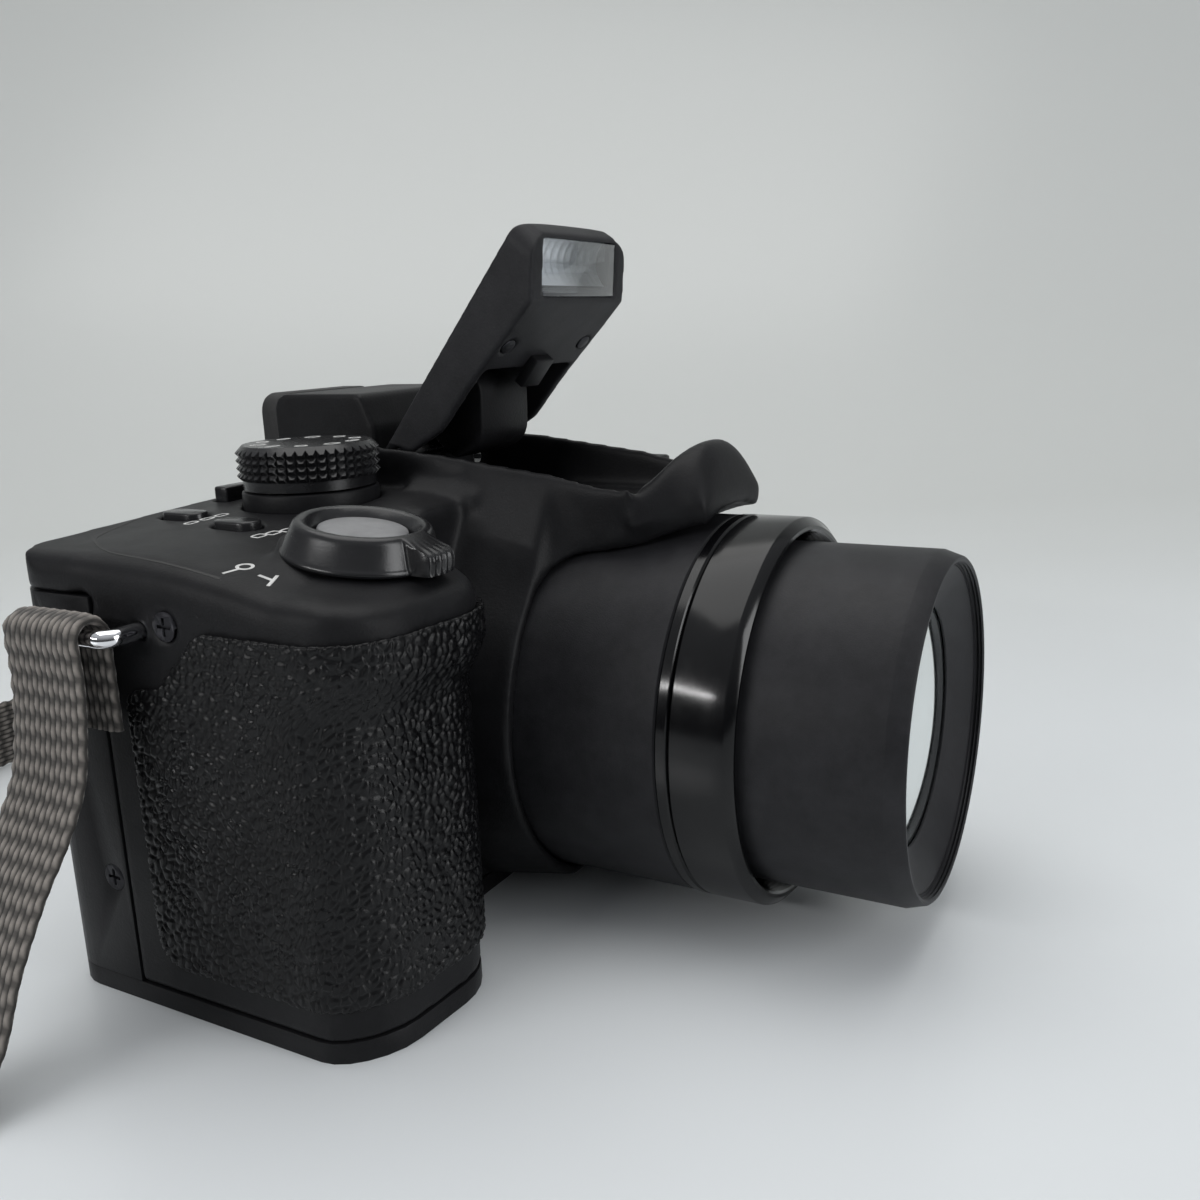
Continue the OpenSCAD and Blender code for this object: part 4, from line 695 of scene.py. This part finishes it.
turned_piece("adapter_ring_look", ring_thread[::-1] + [
    (RING_R - 1.75, RING_FRONT), (RING_R - 1.25, RING_FRONT), (RING_R - 0.1, RING_FRONT + 0.95),
    (RING_R, RING_FRONT + 1.2), (RING_R, RING_BACK - 0.25), (RING_R - 0.25, RING_BACK),
    (NECK_R + 0.05, RING_BACK), (NECK_R + 0.05, RING_BACK - 2.05), (RING_R - 2.05, RING_BACK - 2.05)],
    "camera", "gloss_black", ("adapter_ring",))
filter_thread = thread(FILTER_R - 0.25, BARREL_FRONT + 0.2, BEZEL_FRONT - 0.1, 0.25, 0.4)
turned_piece("lens_barrel_look", [
    (BORE_R, BARREL_BACK), (BARREL_R, BARREL_BACK), (BARREL_R, BARREL_FRONT + 2.6),
    (BARREL_R - 0.08, BARREL_FRONT + 2.35), (FILTER_R + 0.55, BARREL_FRONT + 0.25),
    (FILTER_R + 0.3, BARREL_FRONT), (FILTER_R, BARREL_FRONT), *filter_thread, (BORE_R, BEZEL_FRONT)],
    "lens", "lens_black", ("lens_barrel",))
turned_piece("front_bezel_look", [
    (17.6, -68.0), (17.6, -71.0), (16.9, -71.1), (16.9, -71.35), (17.6, -71.6), (21.9, -74.0), (22.2, -74.15),
    (22.25, -74.15), (22.25, -68.0)], "lens", "lens_black", ("front_bezel",))

GLASS_FACE, GLASS_EDGE_R, GLASS_DOME_R, GLASS_RISE = -70.95, 17.55, 16.85, 1.7
GLASS_THICK, GLASS_MID_R, GLASS_STEPS = 2.1, 0.02, 24
dome = [(r, GLASS_FACE - GLASS_RISE * (1 - (r / GLASS_DOME_R) ** 2))
        for r in np.linspace(GLASS_DOME_R, GLASS_MID_R, GLASS_STEPS)]
turned_piece("front_glass_look", [
    (GLASS_MID_R, GLASS_FACE + GLASS_THICK), (GLASS_EDGE_R, GLASS_FACE + GLASS_THICK),
    (GLASS_EDGE_R, GLASS_FACE), *dome],
    "lens", "front_element", ("front_glass",), sharp=50.0)


# Flash head with a crowned roof and rounded front corners
HINGE, LIFTED = Vector((0, 4.5, 66.4)), math.radians(-50.7)
RAISED = Matrix.Translation(HINGE) @ Matrix.Rotation(LIFTED, 4, "X")
FLASH_VOXEL, FLASH_HALF = 0.3, 11.5
FLASH_WIDE, FACE_DROP, FACE_Y, FACE_Z = 1.18, 0.7, (14, 30), (-2, 2)
CROWN, TIP_CORNER, TIP = 0.9, 3.0, -39.4
LID_FROM, LID_HALF, LID_THICK = -30.0, 10.0, 1.2
CROWN_Z, CORNER_Z = (-1.0, 2.6), (-5.5, -1.0)
LAMP_MID, LAMP_LEAN = (-37.3, -3.7), math.atan2(7.4, 4.9)
LAMP = RAISED @ Matrix.Translation((0, *LAMP_MID)) @ Matrix.Rotation(LAMP_LEAN, 4, "X")
MIRROR_HALF, MIRROR_TALL, MIRROR_FLUTE = 9.9, 3.4, 1.9
MIRROR_FRONT, MIRROR_DEEP, MIRROR_WALL = 2.15, 1.6, 0.2
FLUTE_HIGH, ROOM_AHEAD, ROOM_GROW, TROUGH_STEPS = 0.16, 0.6, 0.1, (121, 33)


def moved(co, matrix):
    """Points taken through a matrix."""
    m = np.array(matrix)
    return co @ m[:3, :3].T + m[:3, 3]


def flash_shape(co):
    """The flash head's drawn shape, from the CAD head's points in the frame of the closed head."""
    co = co.copy()
    co[:, 0] *= FLASH_WIDE
    co[:, 2] -= FACE_DROP * ease(-co[:, 1], *FACE_Y) * (1 - ease(co[:, 2], *FACE_Z))
    return co


def lamp_trough(name, grow, filled):
    """The lamp mirror's fluted trough as a thin wall, or filled towards the window as the room it takes."""
    half, tall = MIRROR_HALF + grow, MIRROR_TALL + grow
    x_steps, z_steps = TROUGH_STEPS
    zs = np.linspace(-1, 1, z_steps)
    loops = []
    for x in np.linspace(-half, half, x_steps):
        flute = FLUTE_HIGH * abs(math.sin(math.pi * x / MIRROR_FLUTE))
        face = [(x, MIRROR_FRONT + (MIRROR_DEEP + flute) * (1 - z * z), tall * z) for z in zs]
        deep = [(x, MIRROR_FRONT + (MIRROR_DEEP + FLUTE_HIGH) * (1 - z * z) + MIRROR_WALL + grow, tall * z)
                for z in zs]
        flat = [(x, MIRROR_FRONT - ROOM_AHEAD, tall * z) for z in zs]
        loops.append((flat if filled else face) + deep[::-1])
    loops = np.array(loops)
    return loft(name, moved(loops.reshape(-1, 3), LAMP).reshape(loops.shape))


def make_flash():
    head = node_mesh("flash_head")
    closed = moved(points(head), RAISED.inverted())
    roof = closed[closed[:, 1] < LID_FROM][:, 2].max()
    lid = box_mesh((-LID_HALF, TIP + 1.2, roof - LID_THICK), (LID_HALF, LID_FROM, roof - 0.1))
    set_points(lid, moved(points(lid), RAISED))
    mesh = baked(joined(head, lid), ("REMESH", {"mode": "VOXEL", "voxel_size": FLASH_VOXEL * MM}))
    smoothed(mesh, 3)
    co = flash_shape(moved(points(mesh), RAISED.inverted()))
    half = FLASH_HALF * FLASH_WIDE
    side = np.abs(co[:, 0]) / half
    co[:, 2] -= CROWN * side ** 3 * ease(co[:, 2], *CROWN_Z)
    cx, cy = half - TIP_CORNER, TIP + TIP_CORNER
    dx = np.abs(co[:, 0]) - cx
    dy = cy - co[:, 1]
    far = np.hypot(dx, dy)
    out = (dx > 0) & (dy > 0) & (far > TIP_CORNER)
    pull = 1 + (TIP_CORNER / np.maximum(far, 1e-6) - 1) * ease(co[:, 2], *CORNER_Z)
    co[:, 0] = np.where(out, np.sign(co[:, 0]) * (cx + dx * pull), co[:, 0])
    co[:, 1] = np.where(out, cy - dy * pull, co[:, 1])
    set_points(mesh, moved(co, RAISED))
    smoothed(mesh, 2)
    mesh = cut(mesh, lamp_trough("lamp_room", ROOM_GROW, True))
    return as_piece("flash_head_look", mesh, "flash", "flash_shell", ("flash_head",), 55.0)


make_flash()

for name, width in {"flash_window": 0.15, "flash_tube": 0.2, "flash_screws": 0.15}.items():
    piece = softened(name, width)
    if name == "flash_screws":
        piece.data.materials[0] = LOOKS["dark_steel"]
    set_points(piece.data, moved(flash_shape(moved(points(piece.data), RAISED.inverted())), RAISED))

as_piece("flash_reflector_look", lamp_trough("flash_reflector_look", 0, False), "flash", "lamp_mirror",
         ("flash_reflector",), 25.0)


# Zoom ring round the shutter button, with a ribbed finger tab
SHUTTER = Matrix.Translation((-44.5, -14.5, 59.92)) @ Matrix.Rotation(math.radians(9), 4, "X")
LOW_SHUTTER = SHUTTER @ Matrix.Translation((0, 0, -DECK_DROP))
ZOOM_LIFT, ZOOM_STEPS, TAB_REACH, TAB_HALF, TAB_BLEND = 0.9, 361, 12.3, 14.5, 3
TAB_RIB, RIB_DEEP, RIB_ROWS = 5.2, 0.35, (3, 4, 5, 6, 7)
ZOOM_OUTLINE = [(2.3, 0), (9.6, 0), (9.8, 0.2), (9.8, 0.55), (9.6, 0.8), (9.45, 1.0), (8.5, 3.6), (8.3, 4.0),
                (8.0, 4.3), (7.6, 4.4), (7.2, 4.35), (6.9, 4.15), (6.2, 3.3), (5.95, 2.9), (5.85, 2.4),
                (5.85, 1.65), (2.3, 1.65)]
TAB_OUTLINE = {2: (12.2, 0.5), 3: (TAB_REACH, 0.8), 4: (TAB_REACH, 1.4), 5: (TAB_REACH, 2.0), 6: (12.1, 2.7),
               7: (11.7, 3.1), 8: (10.0, 3.5)}


def make_zoom_ring():
    loops = []
    for a in np.linspace(-180, 180, ZOOM_STEPS):
        tab = float(1 - ease(np.array(abs(a)), TAB_HALF - TAB_BLEND, TAB_HALF + TAB_BLEND))
        rib = RIB_DEEP * (0.5 + 0.5 * math.cos(2 * math.pi * a / TAB_RIB)) * tab
        row = []
        for i, (r, z) in enumerate(ZOOM_OUTLINE):
            if i in TAB_OUTLINE:
                far, high = TAB_OUTLINE[i]
                sunk = rib if i in RIB_ROWS else 0
                r, z = r + tab * (far - r) - sunk, z + tab * (high - z)
            t = math.radians(a)
            row.append((r * math.sin(t), -r * math.cos(t), ZOOM_LIFT + z))
        loops.append(row)
    placed = moved(np.array(loops).reshape(-1, 3), LOW_SHUTTER).reshape(ZOOM_STEPS, -1, 3)
    mesh = welded(loft("zoom_ring_look", placed, closed_ends=False))
    as_piece("zoom_ring_look", mesh, "zoom_lever", "control_black", ("zoom_ring",), 50.0)


make_zoom_ring()


# Other covers, doors and controls with their moulded edge rounding
for node, width in {"rear_cover": 0.35, "battery_door": 0.3, "battery_latch": 0.25, "terminal_door": 0.35,
                    "dial_collar": 0.3, "flash_arm": 0.35, "flash_hook": 0.25, "eyecup": 0.7,
                    "focus_button": 0.35, "burst_button": 0.35, "power_switch": 0.35, "flash_button": 0.35,
                    "cursor_pad": 0.35, "menu_button": 0.3, "display_button": 0.3, "delete_button": 0.3,
                    "lock_button": 0.3, "lcd_window": 0.3}.items():
    softened(node, width)

button = softened("shutter_button", 0.3)
set_points(button.data, moved(moved(points(button.data), SHUTTER.inverted()), LOW_SHUTTER))

base = softened("bottom_cover", 0.5)
set_points(base.data, set_back(points(base.data)))


# Cover screws with cross slots in their heads
BASE_SCREWS = [(46, 20), (46, -5), (-25, 20), (-50, 24)]
SIDE_SCREWS_APART = 30
SLOT_LONG, SLOT_HALF, SLOT_DEEP, SLOT_OVER, FACE_WITHIN = 1.1, 0.22, 0.5, 0.2, 0.05
CROSS = (SLOT_LONG, SLOT_HALF), (SLOT_HALF, SLOT_LONG)


def make_screws():
    mesh = node_mesh("cover_screws")
    co = points(mesh)
    face = co[co[:, 0] < co[:, 0].min() + FACE_WITHIN]
    for head in (face[face[:, 2] > SIDE_SCREWS_APART], face[face[:, 2] < SIDE_SCREWS_APART]):
        x, y, z = head.mean(0)
        for dy, dz in CROSS:
            mesh = cut_box(mesh, (x - SLOT_OVER, y - dy, z - dz), (x + SLOT_DEEP, y + dy, z + dz))
    for x, y in BASE_SCREWS:
        for dx, dy in CROSS:
            mesh = cut_box(mesh, (x - dx, y - dy, -SLOT_OVER), (x + dx, y + dy, SLOT_DEEP))
    as_piece("cover_screws_look", mesh, "camera", SLOT_OF["cover_screws"], ("cover_screws",), 30.0)


make_screws()


# Printed marks: plain signs and a groove on the deck, and plain signs on the dial
INK_HIGH, INK_DEEP, DECK_ABOVE = 0.03, 0.05, 90
shell_tree = BVHTree.FromObject(shell, bpy.context.evaluated_depsgraph_get())


def deck_z(x, y):
    """The height of the drawn deck at a place."""
    return shell_tree.ray_cast(Vector((x, y, DECK_ABOVE)) * MM, Vector((0, 0, -1)))[0].z / MM


def ribbon(line, wide, height):
    """A thin strip along a line of (x, y) points, laid at the height a function gives."""
    line = np.array(line, float)
    step = np.gradient(line, axis=0)
    side = np.stack([-step[:, 1], step[:, 0]], 1)
    side *= wide / 2 / np.linalg.norm(side, axis=1, keepdims=True)
    loops = []
    for p, s in zip(line, side):
        edge = [(*(p + s), height(*(p + s))), (*(p - s), height(*(p - s)))]
        upper = [(x, y, z + INK_HIGH) for x, y, z in edge]
        lower = [(x, y, z - INK_DEEP) for x, y, z in edge[::-1]]
        loops.append(upper + lower)
    return loft("ribbon", np.array(loops))


def circle(x, y, r):
    return [(x + r * math.cos(a), y + r * math.sin(a)) for a in np.linspace(0, 2 * math.pi, 25)]


def box_line(x, y, w, h):
    return [(x - w, y - h), (x + w, y - h), (x + w, y + h), (x - w, y + h), (x - w, y - h)]


DECK_SIGNS = [circle(-55.8, -6.2, 0.9), [(-56.9, -6.2), (-58.9, -5.8)], [(-56.9, -9.4), (-57.1, -11.6)],
              [(-55.9, -11.3), (-58.5, -12.3)]]
FRAME_SIGNS = [(-43.2, 16.2), (-40.6, 16.0), (-38.2, 15.8), (-45.6, 1.5), (-43.6, 1.0), (-41.6, 0.4)]
SIGN_WIDE, FRAME_WIDE, FRAME_HALF = 0.42, 0.3, (0.75, 0.55)
signs = [ribbon(line, SIGN_WIDE, deck_z) for line in DECK_SIGNS]
signs += [ribbon(catmull(box_line(x, y, *FRAME_HALF), 3), FRAME_WIDE, deck_z) for x, y in FRAME_SIGNS]
as_piece("deck_signs", joined(*signs), "camera", "body_plastic", material=PALE_INK)

GROOVE = [(-43.8, 26.6), (-51.5, 23.6), (-54.6, 21.2), (-57.9, 15.6), (-59.2, 10.7), (-59.7, 1.7),
          (-60.0, -6.5)]
GROOVE_WIDE = 0.38
as_piece("deck_groove", ribbon(catmull(GROOVE, 8), GROOVE_WIDE, deck_z), "camera", "soft_rubber")

DIAL_AT, DIAL_TOP, DIAL_MARKS, DIAL_MARK_R = (-25.5, 10.7), 69.4, 10, 6.9
DIAL_WIDE, DIAL_RING, DIAL_BOX, DIAL_BAR = 0.35, 0.75, (0.9, 0.6), (0.9, 0.35)
dial_signs = []
for k in range(DIAL_MARKS):
    turn = 2 * math.pi * k / DIAL_MARKS
    spot = (DIAL_AT[0] + DIAL_MARK_R * math.cos(turn), DIAL_AT[1] + DIAL_MARK_R * math.sin(turn))
    if k % 3 == 0:
        sign = circle(*spot, DIAL_RING)
    else:
        sign = catmull(box_line(*spot, *(DIAL_BOX if k % 3 == 1 else DIAL_BAR)), 3)
    dial_signs.append(ribbon(sign, DIAL_WIDE, lambda x, y: DIAL_TOP))
as_piece("dial_signs", joined(*dial_signs), "dial", "control_black", material=PALE_INK)


# Neck strap, on the route of its solids in the CAD
STRAP_W, STRAP_T, STRAP_CLEAR = 13.0, 1.6, 0.3
BAR_D, BAR_Y, BAR_Z, BAR_OUT = 2.2, 14.0, 51.0, 4.5
GRIP_SIDE, FAR_SIDE = 62.5, 55.1
OVER_BAR = BAR_D / 2 + STRAP_CLEAR + STRAP_T / 2
TAIL_LEN = 12.0
RIGHT_HANG = [(6.6, 14, 46), (7.2, 14, 40), (8.5, 14, 34), (11.5, 14, 28.5), (15.5, 14, 23),
              (19.8, 14, 15.6), (23, 14.2, 8), (27, 15, 3)]
RIGHT_TABLE = [(34, 17.5, 0), (41, 23, 0.15), (46.5, 31, 0.4), (49, 41, 0.7), (48.5, 53, 0.9), (44, 66, 1),
               (34.5, 80, 1), (20, 93.5, 1), (2, 104, 1), (-20, 110, 1), (-42, 111.5, 1)]
LEFT_HANG = [(6.6, 14, 46), (7.2, 14, 40), (8.6, 14, 33), (11, 14.4, 26), (15, 15, 19), (19, 16, 12),
             (23, 17.5, 5.5)]
LEFT_TABLE = [(29, 20.5, 0.05), (34, 26, 0.3), (35.5, 33, 0.6), (33, 40.5, 0.9), (26, 47, 1), (15, 51, 1)]
ROLL_X, ROLL_Y, ROLL_CORE, ROLL_PITCH, ROLL_TURNS, ROLL_STEPS = 24.0, 82.0, 12.0, 10.0, 1.75, 32
ROLL_END = ROLL_CORE + ROLL_PITCH * ROLL_TURNS
LEAD_OUT, LEAD_STEP = STRAP_W, 6.0


def rest_z(lean):
    """The height of the strap's middle where it lies on the table: flat at lean 0, on its edge at 1."""
    a = math.radians(90 * lean)
    return STRAP_W / 2 * math.sin(a) + STRAP_T / 2 * math.cos(a) + STRAP_CLEAR


def stretch(hang, table, side, edge):
    """Centre points and width directions of the strap from its tail to the roll."""
    tail = [(BAR_OUT - OVER_BAR, BAR_Y, BAR_Z - TAIL_LEN * f, 0) for f in (1, 0.6, 0.25)]
    turn = [(BAR_OUT - OVER_BAR * math.cos(a), BAR_Y, BAR_Z + OVER_BAR * math.sin(a), 0)
            for a in np.radians(np.arange(0, 181, 30))]
    laid = [(x, y, rest_z(v), v) for x, y, v in table]
    ends = [(side * (ROLL_X - edge) + LEAD_OUT + LEAD_STEP * k, ROLL_Y - side * ROLL_END, rest_z(1), 1)
            for k in (2, 1, 0)]
    pts = catmull(tail + turn + [(*h, 0) for h in hang] + laid + ends, 8)
    lean = np.clip(pts[:, 3], 0, 1)
    step = np.gradient(pts[:, :2], axis=0)
    flat = np.stack([-step[:, 1], step[:, 0]], 1)
    flat /= np.maximum(np.linalg.norm(flat, axis=1, keepdims=True), 1e-9)
    flat[lean <= 0] = (0, 1)
    a = np.radians(90 * lean)[:, None]
    width = np.hstack([side * flat[:, :1] * np.cos(a), flat[:, 1:] * np.cos(a), np.sin(a)])
    path = np.stack([edge + side * pts[:, 0], pts[:, 1], pts[:, 2]], 1)
    return path, width


def roll_points():
    """Centre points and width directions of the roll: two arms wound together from one bend."""
    def arm(side):
        face = (270 if side > 0 else 90) - 360 * ROLL_TURNS
        k = np.arange(int(ROLL_STEPS * ROLL_TURNS) + 1)
        r = ROLL_CORE + ROLL_PITCH * k / ROLL_STEPS
        a = np.radians(face + 360 * k / ROLL_STEPS)
        return np.stack([ROLL_X + r * np.cos(a), ROLL_Y + r * np.sin(a)], 1)

    def bend(side):
        face = math.radians((270 if side > 0 else 90) - 360 * ROLL_TURNS)
        a = face + math.pi + math.pi * np.arange(1, 8) / 8
        c = ROLL_CORE / 2
        return np.stack([ROLL_X + c * math.cos(face) + c * np.cos(a),
                         ROLL_Y + c * math.sin(face) + c * np.sin(a)], 1)

    def lead(side):
        return np.array([[ROLL_X + side * LEAD_OUT * f, ROLL_Y - side * ROLL_END] for f in (0.5, 1)])

    flat = np.vstack([lead(1)[::-1], arm(1)[::-1], bend(1)[::-1], [[ROLL_X, ROLL_Y]],
                      bend(-1), arm(-1), lead(-1)])
    flat = catmull(flat, 4)
    path = np.hstack([flat, np.full((len(flat), 1), rest_z(1))])
    return path, np.tile([0.0, 0.0, 1.0], (len(path), 1))


def even(path, width, step):
    """The same line with points a fixed step apart, without doubled points."""
    keep = np.r_[True, np.linalg.norm(np.diff(path, axis=0), axis=1) > 1e-4]
    path, width = path[keep], width[keep]
    run = np.r_[0, np.cumsum(np.linalg.norm(np.diff(path, axis=0), axis=1))]
    s = np.linspace(0, run[-1], int(round(run[-1] / step)) + 1)
    line = np.stack([np.interp(s, run, path[:, i]) for i in range(3)], 1)
    wide = np.stack([np.interp(s, run, width[:, i]) for i in range(3)], 1)
    return line, wide, s


WEAVE_PICK, WEAVE_YARN, WEAVE_DEEP = 2.5, 0.93, 0.30
STRAP_STEP, STRAP_LANES = 0.5, 57
SELVEDGE_FROM, SELVEDGE_WAVE = 0.95, 0.15


def weave(run, v):
    """How high a point of the webbing stands, from 0 in the gaps to 1 on the yarns' backs."""
    lane = np.floor(v / WEAVE_YARN + 50)
    beat = 0.5 + 0.5 * np.cos(2 * np.pi * (run[:, None] / WEAVE_PICK + 0.2 * (lane[None] % 2)))
    yarn = np.abs(np.sin(np.pi * v / WEAVE_YARN))[None] ** 0.5
    return yarn * (0.15 + 0.85 * beat ** 0.8)


def make_strap():
    right, right_w = stretch(RIGHT_HANG, RIGHT_TABLE, -1, -GRIP_SIDE)
    left, left_w = stretch(LEFT_HANG, LEFT_TABLE, 1, FAR_SIDE)
    roll, roll_w = roll_points()
    left_w = -left_w if np.dot(left_w[-1], roll_w[0]) < 0 else left_w
    path = np.vstack([right, roll[::-1], left[::-1]])
    width = np.vstack([right_w, roll_w[::-1], left_w[::-1]])
    line, wide, run = even(path, width, STRAP_STEP)
    tangent = np.gradient(line, axis=0)
    tangent /= np.linalg.norm(tangent, axis=1, keepdims=True)
    wide -= tangent * np.sum(wide * tangent, 1, keepdims=True)
    wide /= np.linalg.norm(wide, axis=1, keepdims=True)
    up = np.cross(tangent, wide)
    across = np.linspace(-1, 1, STRAP_LANES)
    v = across * STRAP_W / 2
    thick = STRAP_T / 2 * (1 - 0.5 * np.abs(across) ** 8)
    high = weave(run, v)
    wave = SELVEDGE_WAVE * np.sin(2 * np.pi * run / WEAVE_PICK)[:, None]
    edge = wave * np.sign(across) * (np.abs(across) > SELVEDGE_FROM)
    rows = []
    for sign in (1, -1):
        out = sign * (thick[None] - WEAVE_DEEP * (1 - high))
        rows.append(line[:, None] + wide[:, None] * (v + edge)[:, :, None] + up[:, None] * out[:, :, None])
    mesh = loft("neck_strap", np.concatenate([rows[0], rows[1][:, ::-1]], 1))
    # The weave's height at each point, which the webbing's material turns into painted shade in the gaps.
    shade = mesh.attributes.new("weave", "FLOAT", "POINT")
    shade.data.foreach_set("value", np.concatenate([high, high[:, ::-1]], 1).ravel())
    strap = as_piece("neck_strap", mesh, "camera", "webbing", ("strap_right", "strap_roll", "strap_left"),
                     180.0)


make_strap()


# Floor, backdrop and light
AWAY = Vector((math.sin(-AZIMUTH), math.cos(AZIMUTH), 0)).normalized()
SHEET_NEAR, SHEET_FAR, SHEET_TURN, SHEET_RISE, SHEET_SIDES = -0.55, 0.55, 0.35, 1.4, (-0.75, 0.95)
TURN_ANGLES = np.linspace(0, math.pi / 2, 24)
# Sheet colour, the darker colour of painted shade where it rises behind, and where along the way back that
# painted shade starts and is full, in metres.
SHEET_PALE, SHEET_SHADED, SHADE_FROM, SHADE_FULL = (0.71, 0.735, 0.75), (0.53, 0.545, 0.535), 0.04, 0.28


def pale_sheet(name, near, far):
    """Plain sheet under and behind the object, its colour darkened with painted shade towards where it rises
    behind.
    """
    sh = Shader(name, near, 0.28)
    sh.bump(sh.noise(0.002, 3), 0.00002, 0.2)
    depth = sh.add("ShaderNodeVectorMath", operation="DOT_PRODUCT")
    sh.link(sh.place, depth.inputs[0])
    depth.inputs[1].default_value = AWAY
    # Painted shade: the colour darkens from pale to grey along the way back, towards where the sheet rises.
    sh.vary_colour(depth.outputs["Value"], near, far, SHADE_FROM, SHADE_FULL)
    return sh.material


def make_stage():
    flat_to = SHEET_FAR - SHEET_TURN
    line = [(SHEET_NEAR, 0.0), (flat_to, 0.0)]
    line += [(flat_to + SHEET_TURN * math.sin(a), SHEET_TURN - SHEET_TURN * math.cos(a))
             for a in TURN_ANGLES[1:]]
    line += [(SHEET_FAR, SHEET_RISE)]
    side = Vector((AWAY.y, -AWAY.x, 0))
    verts = [AWAY * a + side * s + Vector((0, 0, h)) for a, h in line for s in SHEET_SIDES]
    faces = [(2 * i, 2 * i + 1, 2 * i + 3, 2 * i + 2) for i in range(len(line) - 1)]
    mesh = mesh_of("floor", verts, faces)
    mesh.shade_smooth()
    mesh.materials.append(pale_sheet("pale_floor", SHEET_PALE, SHEET_SHADED))
    floor = new_object("floor", mesh)


make_stage()


def area_light(name, at, aim, size, power, colour=(1, 1, 1)):
    data = bpy.data.lights.new(name, "AREA")
    data.shape = "RECTANGLE"
    data.size, data.size_y = size
    data.energy = power
    data.color = colour
    light = bpy.data.objects.new(name, data)
    light.location = at
    light.rotation_euler = (Vector(aim) - Vector(at)).to_track_quat("-Z", "Y").to_euler()
    bpy.context.scene.collection.objects.link(light)


area_light("overhead", (0.10, 0.10, 0.95), (0, 0, 0), (1.0, 1.0), 6.0, (1.0, 0.995, 0.98))
area_light("front", (0.03, -1.15, 0.40), (0, -0.03, 0.04), (0.45, 0.7), 5.0, (0.98, 0.99, 1.0))
area_light("window", (-0.79, 0.29, 0.37), (0, -0.05, 0.035), (0.55, 0.025), 2.4)


TENT_LIT, TENT_SEEN = (0.93, 0.96, 1.0, 1), (0.56, 0.59, 0.61, 1)
TENT_RISE = {"From Min": 0.05, "From Max": 0.8, "To Min": 0.06, "To Max": 0.50}


def make_tent():
    """Soft light all round, dim near the horizon and brighter overhead; the camera sees plain pale grey."""
    world = bpy.data.worlds.new("tent")
    world.use_nodes = True
    tree = world.node_tree
    lit = tree.nodes["Background"]
    way = tree.nodes.new("ShaderNodeTexCoord").outputs["Generated"]
    split = tree.nodes.new("ShaderNodeSeparateXYZ")
    tree.links.new(way, split.inputs["Vector"])
    rise = tree.nodes.new("ShaderNodeMapRange")
    for socket, value in TENT_RISE.items():
        rise.inputs[socket].default_value = value
    tree.links.new(split.outputs["Z"], rise.inputs["Value"])
    tree.links.new(rise.outputs["Result"], lit.inputs["Strength"])
    lit.inputs["Color"].default_value = TENT_LIT
    seen = tree.nodes.new("ShaderNodeBackground")
    seen.inputs["Color"].default_value = TENT_SEEN
    seen.inputs["Strength"].default_value = 1.0
    both = tree.nodes.new("ShaderNodeMixShader")
    tree.links.new(tree.nodes.new("ShaderNodeLightPath").outputs["Is Camera Ray"], both.inputs["Fac"])
    tree.links.new(lit.outputs["Background"], both.inputs[1])
    tree.links.new(seen.outputs["Background"], both.inputs[2])
    tree.links.new(both.outputs["Shader"], tree.nodes["World Output"].inputs["Surface"])
    bpy.context.scene.world = world


make_tent()
